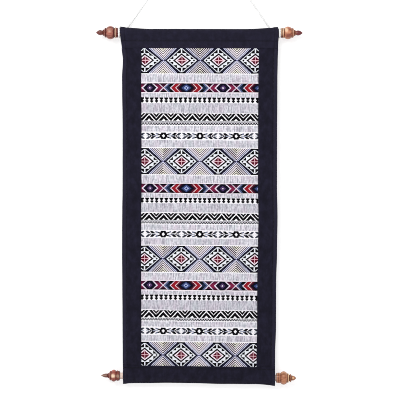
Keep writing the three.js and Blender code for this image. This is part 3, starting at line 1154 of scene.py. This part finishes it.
def leave_angle(distance):
    """Angle, from straight down, at which the cloth leaves the round for a point at that distance."""
    return math.degrees(math.acos(WRAP_RADIUS / distance))


def turned_edge(tail, way, under):
    """The seam allowance behind, and the turn to the face. way is 1 where the strip runs up from it."""
    turn = arc((TURN, tail + way * TURN), TURN, -90 if way > 0 else 270, 90, 6)
    return [(0, 2 * TURN, tail + way * under), *turn]


def top_section():
    tail = PANEL_TOP + SEAT / 2 - TOP_ROD_Z
    angle = leave_angle(LAYERS_MEET)
    return Line([
        *turned_edge(tail, 1, 6.5),
        (0, 0, -LAYERS_MEET - 6),
        (0, 0, -STITCH_ROW),
        *arc((0, 0), WRAP_RADIUS, angle, 360 - angle, 30),
        (0, LAYER_STEP, -STITCH_ROW),
        (0, LAYER_STEP, -LAYERS_MEET - 7.5),
    ])


def bottom_section():
    tail = PANEL_BOTTOM - SEAT / 2 - BOTTOM_ROD_Z
    angle = leave_angle(LAYERS_MEET)
    fold = leave_angle(FOLD_DROP)
    return Line([
        *turned_edge(tail, -1, 3),
        (0, 0, STITCH_ROW),
        *arc((0, 0), WRAP_RADIUS, 180 - angle, fold, 12),
        *arc((0, -FOLD_DROP + 0.9), ROLL, 60, -60, 4),
        *arc((0, 0), WRAP_RADIUS, -fold, angle - 180, 12),
        (0, LAYER_STEP, STITCH_ROW),
        (0, LAYER_STEP, LAYERS_MEET + 2.6),
    ])


MOUTHS = {
    # way is 1 where the cloth goes over its rod and -1 where it goes under. The mouths flare past a start.
    # Then come the hem's swell, painted light that pales the whole strip, and sags of the fold: place, half
    # width and depth.
    "top": {
        "rod": TOP_ROD_Z,
        "way": 1,
        "flare": 4.7,
        "start": 118,
        "power": 1.3,
        "swell": 0.6,
        "painted_light": 0.45,
        "sags": (),
    },
    "bottom": {
        "rod": BOTTOM_ROD_Z,
        "way": -1,
        "flare": 4,
        "start": 140,
        "power": 1.5,
        "swell": 0,
        "painted_light": 0,
        "sags": ((-135, 36, 1.7), (52, 40, 1.2), (120, 34, 0.7)),
    },
}


def gaped(x, y, z, mouth):
    """Height of a point once the mouths of the tunnel stand away from the rod, and its fold sags."""
    along = max(0, (abs(x) - mouth["start"]) / (CLOTH_HALF - mouth["start"]))
    rise = mouth["way"] * (z - mouth["rod"])
    if rise <= 0:
        return z
    share = rise**2 / (rise**2 + (y - ROD_Y) ** 2)
    away = mouth["flare"] * along ** mouth["power"]
    away += sum(depth * math.exp(-((x - at) / half) ** 2) for at, half, depth in mouth["sags"])
    return z + mouth["way"] * away * share


sections = {"top": top_section(), "bottom": bottom_section()}
print("strip lengths:", {name: round(line.length, 1) for name, line in sections.items()})

# %% [markdown]
# ## Stitch lines
#
# A row of stitches pulls the cloth into a shallow groove. Its depth is drawn in the cloth itself, and the
# thread is laid in it afterwards, one small bar for each stitch.

# %% Tunnel strips
GROOVE_DEPTH = 0.45
HEM_GROOVE = 0.2
GROOVE_WIDTH = 1.1
HEM_LINE = CLOTH_HALF - HEM_WIDTH
HEM_LINE_STEPS = (-2, -1, -0.35, 0.35, 1, 2)


def groove(distance):
    return math.exp(-(distance / GROOVE_WIDTH) ** 2)


def hem_share(x):
    return eased((abs(x) - HEM_LINE + 0.4) / 0.8)


def hem_swell(x):
    """The doubled cloth of a hem lifts its tunnel softly over the rod."""
    return eased((abs(x) - HEM_LINE + 5) / 7)


def cloth_ripple(a, b, seed):
    """Small unevenness of plain cloth, in millimetres."""
    broad = noise.noise(Vector((a / 38, b / 30, seed)))
    fine = noise.noise(Vector((a / 11, b / 9, seed)))
    return 0.35 * broad + 0.12 * fine


def tunnel_place(name, x, distance, lift=0.0):
    """A point of a tunnel strip, and the way out from its face."""
    mouth = MOUTHS[name]
    point, ahead, _ = sections[name].at(distance)
    outward = Vector((0, -ahead.z, ahead.y)) * mouth["way"]
    point += outward * (lift + mouth["swell"] * hem_swell(x) - HEM_GROOVE * groove(abs(x) - HEM_LINE))
    y = ROD_Y + point.y
    return hang(x, y, gaped(x, y, mouth["rod"] + point.z, mouth)), outward


def stitch_distance(name):
    """Distance along the strip's section to its row of stitches."""
    line = sections[name]
    level = -MOUTHS[name]["way"] * STITCH_ROW
    return next(
        length for point, length in zip(line.points, line.lengths) if abs(point.z - level) < 0.01
    )


for name, replaced in (("top", "border_top"), ("bottom", "border_bottom")):
    line = sections[name]
    stitches_at = stitch_distance(name)
    bm = cut_cloth(
        2 * CLOTH_HALF,
        line.length,
        column=2.6,
        row=1.6,
        extra_across=[way * (HEM_LINE + step) for way in (-1, 1) for step in HEM_LINE_STEPS],
        extra_down=[stitches_at + step for step in (-1, 0, 1)],
    )
    hem_wear_and_top_light = bm.verts.layers.float.new("hem_wear_and_top_light")
    groove_shade_layer = bm.verts.layers.float.new("groove")
    weights = bm.verts.layers.deform.new("thickness")
    for vert in bm.verts:
        x, distance = vert.co.x, -vert.co.y
        # The hems are paler from wear, and the whole top strip is paler as painted light from above.
        vert[hem_wear_and_top_light] = max(0.6 * hem_share(x), MOUTHS[name]["painted_light"])
        # Painted shade along the stitch lines.
        vert[groove_shade_layer] = max(0.5 * groove(abs(x) - HEM_LINE), groove(distance - stitches_at))
        vert[weights][0] = hem_swell(x)
        lift = cloth_ripple(x, distance, 1.7) - GROOVE_DEPTH * groove(distance - stitches_at)
        vert.co = tunnel_place(name, x, distance, lift)[0]
    bmesh.ops.reverse_faces(bm, faces=bm.faces)
    piece = make_piece(bm, name + "_strip", [navy_cotton], [replaced])
    piece.vertex_groups.new(name="doubled")
    thicken(piece, weights="doubled", thickness=DOUBLED * CLOTH_THICKNESS)

# %% [markdown]
# ## Side strips
#
# A side strip's section lies in the plan, seen from above. It starts as the seam allowance behind the panel,
# turns round to the face, runs out to the edge of the hanging and comes back behind as the hem.

# %% Side strips
SEAM_OVERLAP = 7  # each side strip runs on behind the top and bottom strips
FLAT_REACH = 3  # the face is flat this far to both sides of the hem's stitches


def half_round(middle, radius, way):
    """Half a round of the plan: from the back to the face where way is -1, and to the back where it is 1."""
    points = []
    for degrees in range(0, 181, 30):
        angle = math.radians(degrees)
        points.append((middle + way * radius * math.sin(angle), radius - way * radius * math.cos(angle), 0))
    return points


seam = PANEL_HALF + SEAT / 2
side_line = Line([
    (seam + ALLOWANCE, 2 * TURN, 0),
    *half_round(seam + TURN, TURN, -1),
    (HEM_LINE - FLAT_REACH, 0, 0),
    (HEM_LINE + FLAT_REACH, 0, 0),
    *half_round(CLOTH_HALF - ROLL, ROLL, 1),
    (HEM_LINE, 2 * ROLL, 0),
])
past_hem = next(
    length for point, length in zip(side_line.points, side_line.lengths)
    if point.x > HEM_LINE and point.y == 0
)
hem_start = past_hem - FLAT_REACH


def side_place(way, distance, z, lift=0.0):
    """A point of a side strip, and the way out from its face."""
    point, ahead, _ = side_line.at(distance)
    outward = Vector((ahead.y, -ahead.x, 0))
    point += outward * (lift - GROOVE_DEPTH * groove(distance - hem_start))
    beyond = max(z - PANEL_TOP, PANEL_BOTTOM - z)
    return hang(way * point.x, ROD_Y + point.y + seam_drop(beyond), z), outward


for side, way in (("left", -1), ("right", 1)):
    bm = cut_cloth(
        side_line.length,
        PANEL_LENGTH + 2 * SEAM_OVERLAP,
        column=1.6,
        row=5,
        extra_across=[hem_start - side_line.length / 2 + step for step in HEM_LINE_STEPS],
        extra_down=seam_rows(SEAM_OVERLAP),
    )
    hem_wear_and_top_light = bm.verts.layers.float.new("hem_wear_and_top_light")
    groove_shade_layer = bm.verts.layers.float.new("groove")
    for vert in bm.verts:
        distance = vert.co.x + side_line.length / 2
        z = PANEL_TOP + SEAM_OVERLAP + vert.co.y
        vert[hem_wear_and_top_light] = eased((distance - hem_start + 0.4) / 0.8)
        # Painted shade along the hem's stitch line.
        vert[groove_shade_layer] = groove(distance - hem_start)
        lift = cloth_ripple(distance, z, 4.2 + way)
        vert.co = side_place(way, distance, z, lift)[0]
    if way < 0:
        bmesh.ops.reverse_faces(bm, faces=bm.faces)
    piece = make_piece(bm, side + "_strip", [navy_cotton], ["border_" + side])
    thicken(piece)

# %% [markdown]
# ## Sewing thread
#
# The stitches are bars of dark navy thread, three millimetres apart, sunk a little at their ends. Hundreds
# are needed, so each is a very plain stretched ball of two dozen faces, and a row is one joined mesh.

# %% Stitches
STITCH_PITCH = 3.2
STITCH_LENGTH = 2.7
STITCH_WIDTH = 0.55
STITCH_LIFT = CLOTH_THICKNESS / 2 + 0.05  # from the middle of the cloth to the middle of the thread
SUNK = 0.7  # share of the groove's depth that the thread follows
HEM_ROW_START = {"top": 12, "bottom": 3}  # the hem's rows start this far before the tunnel's row
HEM_ROW_SHARE = 0.45  # and go on round the rod for this share of the section

sewing_thread, tree, shader = new_material("sewing_thread", roughness=0.6, specular=0.35, sheen=0.1)
ply = noise_field(tree, object_place(tree), 900, detail=1)
tree.links.new(mixed(tree, ply, dye(15, 14, 24), dye(34, 33, 52)), shader.inputs["Base Color"])


def sew(bm, place, start, end):
    """A row of stitches. place gives a point on the cloth and the way out from it."""
    count = round(abs(end - start) / STITCH_PITCH)
    for number in range(count):
        middle = blend(start, end, (number + 0.5) / count)
        step = STITCH_PITCH / 4
        before, outward = place(middle - step)
        after, _ = place(middle + step)
        along = (after - before).normalized()
        across = along.cross(outward).normalized()
        out = across.cross(along)
        turn = Matrix((across, along, out)).transposed().to_4x4()
        size = Matrix.Diagonal((STITCH_WIDTH, STITCH_LENGTH, STITCH_WIDTH, 1))
        place_matrix = Matrix.Translation((before + after) / 2) @ turn @ size
        bmesh.ops.create_uvsphere(bm, u_segments=6, v_segments=4, radius=0.5, matrix=place_matrix)


for name in ("top", "bottom"):
    bm = bmesh.new()
    stitches_at = stitch_distance(name)
    sew(
        bm,
        lambda x: tunnel_place(name, x, stitches_at, STITCH_LIFT - SUNK * GROOVE_DEPTH),
        -CLOTH_HALF + 1,
        CLOTH_HALF - 1,
    )
    for way in (-1, 1):
        sew(
            bm,
            lambda distance: tunnel_place(name, way * HEM_LINE, distance, STITCH_LIFT),
            stitches_at - HEM_ROW_START[name],
            stitches_at + HEM_ROW_SHARE * sections[name].length,
        )
    make_piece(bm, name + "_stitches", [sewing_thread])

for side, way in (("left", -1), ("right", 1)):
    bm = bmesh.new()
    sew(
        bm,
        lambda z: side_place(way, hem_start, z, STITCH_LIFT),
        PANEL_TOP - 2,
        PANEL_BOTTOM + 2,
    )
    make_piece(bm, side + "_stitches", [sewing_thread])

# %% [markdown]
# ## Sheets
#
# Each piece of cloth has the flat size of the cut that it was made from. The loop below goes over the top and
# bottom strips and their rods, and does nothing with them.

for name, rod in (("top", "rod_top"), ("bottom", "rod_bottom")):
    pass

# %% [markdown]
# ## Turned wood
#
# The rods are plain dowels, and the finials are turned on a lathe from a streaky hardwood: reddish heartwood
# with paler sapwood running along the grain, dark burn lines in the grooves, and a coat of varnish. Pale
# patches painted on the finials add painted highlights, and dark ones add painted shade beneath. Grain runs
# along the rod, so the pattern is noise stretched along X, with fine pores in a second, finer noise.

# %% Wood group
grain, grain_in, grain_out = new_group(
    "turned_wood_grain",
    [("Vector", "NodeSocketVector")],
    [("Streaks", "NodeSocketFloat"), ("Pores", "NodeSocketFloat")],
)
vector = grain_in.outputs["Vector"]
broad = noise_field(grain, stretched(grain, vector, (26, 210, 210)), 1.0, detail=3, roughness=0.6)
fine = noise_field(grain, stretched(grain, vector, (90, 1300, 1300)), 1.0, detail=2)
grain.links.new(contrast(broad, 0.34, 0.66).socket, grain_out.inputs["Streaks"])
grain.links.new(contrast(fine, 0.35, 0.75).socket, grain_out.inputs["Pores"])


def turned_wood(name, dark, light, sapwood_and_highlight, heartwood_and_shade=dye(98, 34, 30), burn=0.9, roughness=0.4, coat=0.15):
    """Varnished wood: its dark and light grain and pale sapwood. Patches of sapwood colour add painted
    highlights, and patches of heartwood colour add dark rings and painted shade.
    """
    material, tree, shader = new_material(name, roughness=roughness, specular=0.35, coat=coat)
    shader.inputs["Coat Roughness"].default_value = 0.25
    place = object_place(tree)
    wood = placed_group(tree, grain, place)
    pores = Field(tree, wood.outputs["Pores"])
    sap = noise_field(tree, stretched(tree, place, (14, 90, 90)), 1.0, detail=1)
    tone = Picture(tree, dark)
    tone.paint(Field(tree, wood.outputs["Streaks"]), light)
    tone.paint(contrast(sap, 0.55, 0.68) * 0.2, sapwood_and_highlight)
    # Patches in the sapwood colour are pale rings and painted highlights, and patches in the heartwood colour
    # are dark rings and painted shade.
    tone.paint(own_attribute(tree, "pale_wood_and_highlight"), sapwood_and_highlight)
    tone.paint(own_attribute(tree, "heartwood_and_shade"), heartwood_and_shade)
    tone.paint(pores * 0.18, dye(70, 30, 18))
    tone.paint(own_attribute(tree, "groove") * burn, dye(84, 16, 6))
    tree.links.new(tone.colour, shader.inputs["Base Color"])
    bumped(tree, shader, 1 - pores, 0.06)
    return material


print("wood ready")

# %% [markdown]
# ## Turning on the lathe
#
# A lathe makes a shape by turning a profile, and so does bmesh: a chain of edges is spun once round the axis.
# Each bead swells out and comes back in, with its points closer together at both ends, where it is steepest.

# %% Lathe
LATHE_SIDES = 48
SOCKET_DEPTH = 14
GROOVE_REACH = 2  # burn lines darken the wood this far from a joint of two beads


def bead(start_at, length, start, peak, end, steps, power=0.8):
    points = []
    for step in range(1, steps + 1):
        part = (1 - math.cos(math.pi * step / steps)) / 2
        swell = (peak - (start + end) / 2) * max(math.sin(math.pi * part), 0) ** power
        points.append((start_at + length * part, max(blend(start, end, part) + swell, 0)))
    return points


def turned(profile, joints, face=0, patches=()):
    """A solid turned from points of distance and radius, along +X, with its burn lines and its patches of
    pale and dark wood, painted highlight and painted shade marked.
    """
    bm = bmesh.new()
    burn = bm.verts.layers.float.new("groove")
    layers = {tone: bm.verts.layers.float.new(tone) for tone in ("pale_wood_and_highlight", "heartwood_and_shade")}
    chain = []
    for distance, radius in profile:
        vert = bm.verts.new((distance, 0, radius))
        near = min((abs(distance - joint) for joint in joints), default=99)
        vert[burn] = eased(1 - near / GROOVE_REACH)
        chain.append(vert)
    edges = [bm.edges.new(pair) for pair in zip(chain, chain[1:])]
    bmesh.ops.spin(
        bm,
        geom=chain + edges,
        cent=(0, 0, 0),
        axis=(1, 0, 0),
        dvec=(0, 0, 0),
        angle=2 * math.pi,
        steps=LATHE_SIDES,
        use_merge=True,
    )
    bmesh.ops.remove_doubles(bm, verts=bm.verts, dist=0.001)
    bmesh.ops.recalc_face_normals(bm, faces=bm.faces)
    for vert in bm.verts:
        for tone, distance, height, reach_along, reach_up, strength in patches:
            far = math.hypot((vert.co.x - face - distance) / reach_along, (vert.co.z - height) / reach_up)
            share = strength * eased(1.5 - far)
            vert[layers[tone]] = max(vert[layers[tone]], share)
    return bm


# %% [markdown]
# ## Finials and rods
#
# Each finial was turned and cut by hand, so each has its own sizes. Collar, ball, ring, step and tip follow
# one another outwards. WHOLE_ROUND is a reach that goes right round the wood, and the smaller patches are
# seen on one side only: the pale ones are painted highlights, and the dark ones below the axis are painted
# shade.

# %% Finials and rods
NECK = 5
RIM = 2  # how much narrower the collar starts
WHOLE_ROUND = 60
ROD_BEVEL = 0.6
FINIALS = {
    # side of the rod, place of the inner face, power of the tip's swell, length and radius of each turning
    "top_left": (-1, 204.6, 1, {
        "rim": RIM,
        "collar": (8.6, 13.6),
        "ball": (21, 16.5),
        "ring": (5, 11.8),
        "step": (4, 8),
        "tip": (16.4, 6.2),
    }),
    "top_right": (1, 202.6, 1, {
        "rim": RIM,
        "collar": (8.2, 13.3),
        "ball": (19.4, 15.8),
        "ring": (6, 11.8),
        "step": (3.6, 7.6),
        "tip": (17.8, 6),
    }),
    "bottom_left": (-1, 200, 1, {
        "rim": RIM,
        "collar": (8.6, 13.4),
        "ball": (13, 15),
        "ring": (5, 11.6),
        "step": (3.6, 6.6),
        "tip": (17, 4.4),
    }),
    "bottom_right": (1, 191.3, 0.5, {
        "rim": 0.3,
        "collar": (10.6, 13.2),
        "ball": (17, 16.6),
        "ring": (5, 11.4),
        "step": (6, 10),
        "tip": (10.6, 5.4),
    }),
}
TURNINGS = (
    # after the collar: name, radius at its outer end, steps, power of its swell
    ("ball", 10.6, 24, 0.7),
    ("ring", 6.4, 10, 0.6),
    ("step", NECK, 8, 0.6),
)
WOODS = {
    # dark grain, light grain, sapwood and painted highlights, heartwood and painted shade, strength of the
    # burn lines
    "top_left": (dye(106, 42, 32), dye(182, 112, 96), dye(238, 204, 174), dye(92, 36, 36), 1.2),
    "top_right": (dye(144, 70, 48), dye(208, 134, 98), dye(246, 212, 176), dye(104, 34, 46), 0.8),
    "bottom_left": (dye(120, 40, 34), dye(178, 100, 84), dye(250, 218, 186), dye(104, 78, 68), 1.3),
    "bottom_right": (dye(142, 84, 56), dye(204, 138, 102), dye(244, 206, 162), dye(132, 76, 44), 0.7),
}
PATCHES = {
    # tone, distance out from the inner face, height off the axis, reach along and up, strength
    "top_left": (
        ("pale_wood_and_highlight", 6.4, 0, 1.9, WHOLE_ROUND, 0.75),
        ("heartwood_and_shade", 1, 0, 1.6, WHOLE_ROUND, 0.4),
        ("heartwood_and_shade", 10, 0, 2.2, WHOLE_ROUND, 1),
        ("heartwood_and_shade", 30.6, 0, 1.6, WHOLE_ROUND, 0.7),
        ("heartwood_and_shade", 47, 0, 9, WHOLE_ROUND, 0.8),
        ("pale_wood_and_highlight", 44, 1.5, 8, 1, 0.4),
        ("pale_wood_and_highlight", 20, 4, 6, 5, 0.16),
    ),
    "top_right": (
        ("pale_wood_and_highlight", 3.6, 3, 3.4, 12, 0.9),
        ("heartwood_and_shade", 1.6, -11, 3, 3, 0.8),
        ("pale_wood_and_highlight", 12.5, 6.5, 5, 5, 0.8),
        ("heartwood_and_shade", 20, -9, 8, 5, 0.55),
        ("pale_wood_and_highlight", 31, 2, 3, 8, 0.35),
        ("heartwood_and_shade", 46, 0, 8.5, WHOLE_ROUND, 0.95),
        ("pale_wood_and_highlight", 44, 1.2, 5, 1, 0.5),
    ),
    "bottom_left": (
        ("pale_wood_and_highlight", 4.4, 0.5, 2.4, 4.5, 1),
        ("pale_wood_and_highlight", 16.5, 1, 6, 4.2, 1),
        ("heartwood_and_shade", 36, 0, 7, WHOLE_ROUND, 0.6),
        ("heartwood_and_shade", 41, 0, 8, WHOLE_ROUND, 0.7),
        ("pale_wood_and_highlight", 40, 0.6, 7, 1, 0.7),
    ),
    "bottom_right": (
        ("pale_wood_and_highlight", 29.6, 0, 1.9, WHOLE_ROUND, 0.9),
        ("heartwood_and_shade", 35.6, 0, 2.2, WHOLE_ROUND, 0.7),
        ("pale_wood_and_highlight", 41, 1, 3, 2.4, 0.8),
        ("heartwood_and_shade", 48, 0, 3, WHOLE_ROUND, 0.6),
    ),
}
RODS = {"top": (TOP_ROD_Z, TOP_TILT), "bottom": (BOTTOM_ROD_Z, BOTTOM_TILT)}


def finial_profile(power, sizes):
    """Points of distance and radius from the bore out to the tip, and the joints between its beads."""
    collar_length, collar_radius = sizes["collar"]
    bore = ROD_RADIUS + SEAT
    rim = collar_radius - sizes["rim"]
    inner = 0.45 * collar_length
    points = [(SOCKET_DEPTH, 0), (SOCKET_DEPTH, bore), (0, bore), (0, rim - 1)]
    points += bead(0, inner, rim - 1, collar_radius - 0.7, rim, 8)
    points += bead(inner, collar_length - inner, rim, collar_radius, rim - 0.6, 8)
    joints = [0, inner, collar_length]
    at = collar_length
    for turning, end, steps, turning_power in TURNINGS:
        length, peak = sizes[turning]
        points += bead(at, length, points[-1][1], peak, min(end, peak - 1.5), steps, turning_power)
        at += length
        joints.append(at)
    points += bead(at, sizes["tip"][0], NECK, sizes["tip"][1], 0, 16, power)
    return points, joints


def on_rod(bm, rod, side):
    """Turns a piece drawn along +X to its end of the rod, and tilts it as the rod is."""
    z, tilt = RODS[rod]
    if side < 0:
        bmesh.ops.rotate(bm, verts=bm.verts, cent=(0, 0, 0), matrix=Matrix.Rotation(math.pi, 3, "Z"))
    bmesh.ops.rotate(bm, verts=bm.verts, cent=(0, 0, 0), matrix=Matrix.Rotation(math.atan(tilt), 3, "Y"))
    bmesh.ops.translate(bm, verts=bm.verts, vec=(0, ROD_Y, z))


for name, (side, face, power, sizes) in FINIALS.items():
    profile, joints = finial_profile(power, sizes)
    profile = [(face + distance, radius) for distance, radius in profile]
    bm = turned(profile, [face + joint for joint in joints], face, PATCHES[name])
    on_rod(bm, name.split("_")[0], side)
    wood = turned_wood("wood_" + name, *WOODS[name])
    make_piece(bm, "turned_" + name, [wood], ["finial_" + name])

rod_grain = (dye(222, 194, 178), dye(240, 220, 208), dye(248, 234, 226))
rod_wood = turned_wood("rod_wood", *rod_grain, roughness=0.5, coat=0.1)
for rod in RODS:
    left = -(FINIALS[rod + "_left"][1] + SOCKET_DEPTH - SEAT)
    right = FINIALS[rod + "_right"][1] + SOCKET_DEPTH - SEAT
    dowel = [
        (left, 0),
        (left, ROD_RADIUS - ROD_BEVEL),
        (left + ROD_BEVEL, ROD_RADIUS),
        (right - ROD_BEVEL, ROD_RADIUS),
        (right, ROD_RADIUS - ROD_BEVEL),
        (right, 0),
    ]
    bm = turned(dowel, joints=[])
    on_rod(bm, rod, 1)
    make_piece(bm, "dowel_" + rod, [rod_wood], ["rod_" + rod])

# %% [markdown]
# ## Studio
#
# The picture is a plain shop shot: a white wall close behind, soft light from the upper left, and only a
# breath of shadow to the right and below. More light on a white wall would also whiten it, but it would
# bleach the cloth. So the wall is a mid grey that gives light of its own, and stays white in the picture. It
# can't be seen from behind, so that the hanging's back can be looked at too.

# %% Wall and floor
WALL_Y = 10
WALL_SIZE = 6000
FLOOR_Z = -1300


def stage_plane(name, material, place, turn):
    """A large plane for the picture only, turned that many degrees about X."""
    bm = bmesh.new()
    bmesh.ops.create_grid(bm, x_segments=1, y_segments=1, size=WALL_SIZE / 2 * MM)
    bmesh.ops.rotate(bm, verts=bm.verts, cent=(0, 0, 0), matrix=Matrix.Rotation(math.radians(turn), 3, "X"))
    bmesh.ops.translate(bm, verts=bm.verts, vec=Vector(place) * MM)
    mesh = bpy.data.meshes.new(name)
    bm.to_mesh(mesh)
    bm.free()
    mesh.materials.append(material)
    plane = bpy.data.objects.new(name, mesh)
    bpy.context.scene.collection.objects.link(plane)


def stage_material(name, colour, glow):
    material, tree, shader = new_material(name, roughness=1.0, specular=0.0)
    shader.inputs["Base Color"].default_value = colour
    shader.inputs["Emission Color"].default_value = (1, 1, 1, 1)
    shader.inputs["Emission Strength"].default_value = glow
    clear = tree.nodes.new("ShaderNodeBsdfTransparent")
    choose = tree.nodes.new("ShaderNodeMixShader")
    facing = tree.nodes.new("ShaderNodeNewGeometry")
    tree.links.new(facing.outputs["Backfacing"], choose.inputs[0])
    tree.links.new(shader.outputs[0], choose.inputs[1])
    tree.links.new(clear.outputs[0], choose.inputs[2])
    tree.links.new(choose.outputs[0], tree.nodes["Material Output"].inputs["Surface"])
    return material


wall_paint = stage_material("wall_paint", dye(180, 180, 180), glow=0.67)
floor_paint = stage_material("floor_paint", dye(225, 225, 226), glow=0.0)
stage_plane("wall", wall_paint, (0, WALL_Y, FLOOR_Z + WALL_SIZE / 2), turn=90)
stage_plane("floor", floor_paint, (0, WALL_Y - WALL_SIZE / 2, FLOOR_Z), turn=0)
print("wall and floor ready")

# %% [markdown]
# ## Light
#
# A large soft lamp at the upper left shapes the wood and the folds, a weaker one at the right opens the
# shadows, and a white world stands for the room. A sun would be simpler, but its shadows are hard, and a shop
# picture is lit by wide panels.

# %% Lights
LIGHTS = {
    # place, width, height, watts
    "key": ((-1080, -2350, 740), 1400, 1200, 50.5),
    "fill": ((1300, -2500, 300), 1500, 1500, 13),
}
LOOK_AT = Vector((0, ROD_Y, -700))
ROOM_LIGHT = 0.43
for name, (place, width, height, watts) in LIGHTS.items():
    light_data = bpy.data.lights.new(name, "AREA")
    light_data.shape = "RECTANGLE"
    light_data.size = width * MM
    light_data.size_y = height * MM
    light_data.energy = watts
    light = bpy.data.objects.new(name, light_data)
    light.location = Vector(place) * MM
    light.rotation_euler = (LOOK_AT - Vector(place)).to_track_quat("-Z", "Y").to_euler()
    bpy.context.scene.collection.objects.link(light)

world = bpy.data.worlds.new("studio")
world.use_nodes = True
world.node_tree.nodes["Background"].inputs["Color"].default_value = (1, 1, 1, 1)
world.node_tree.nodes["Background"].inputs["Strength"].default_value = ROOM_LIGHT
bpy.context.scene.world = world
print("studio ready")
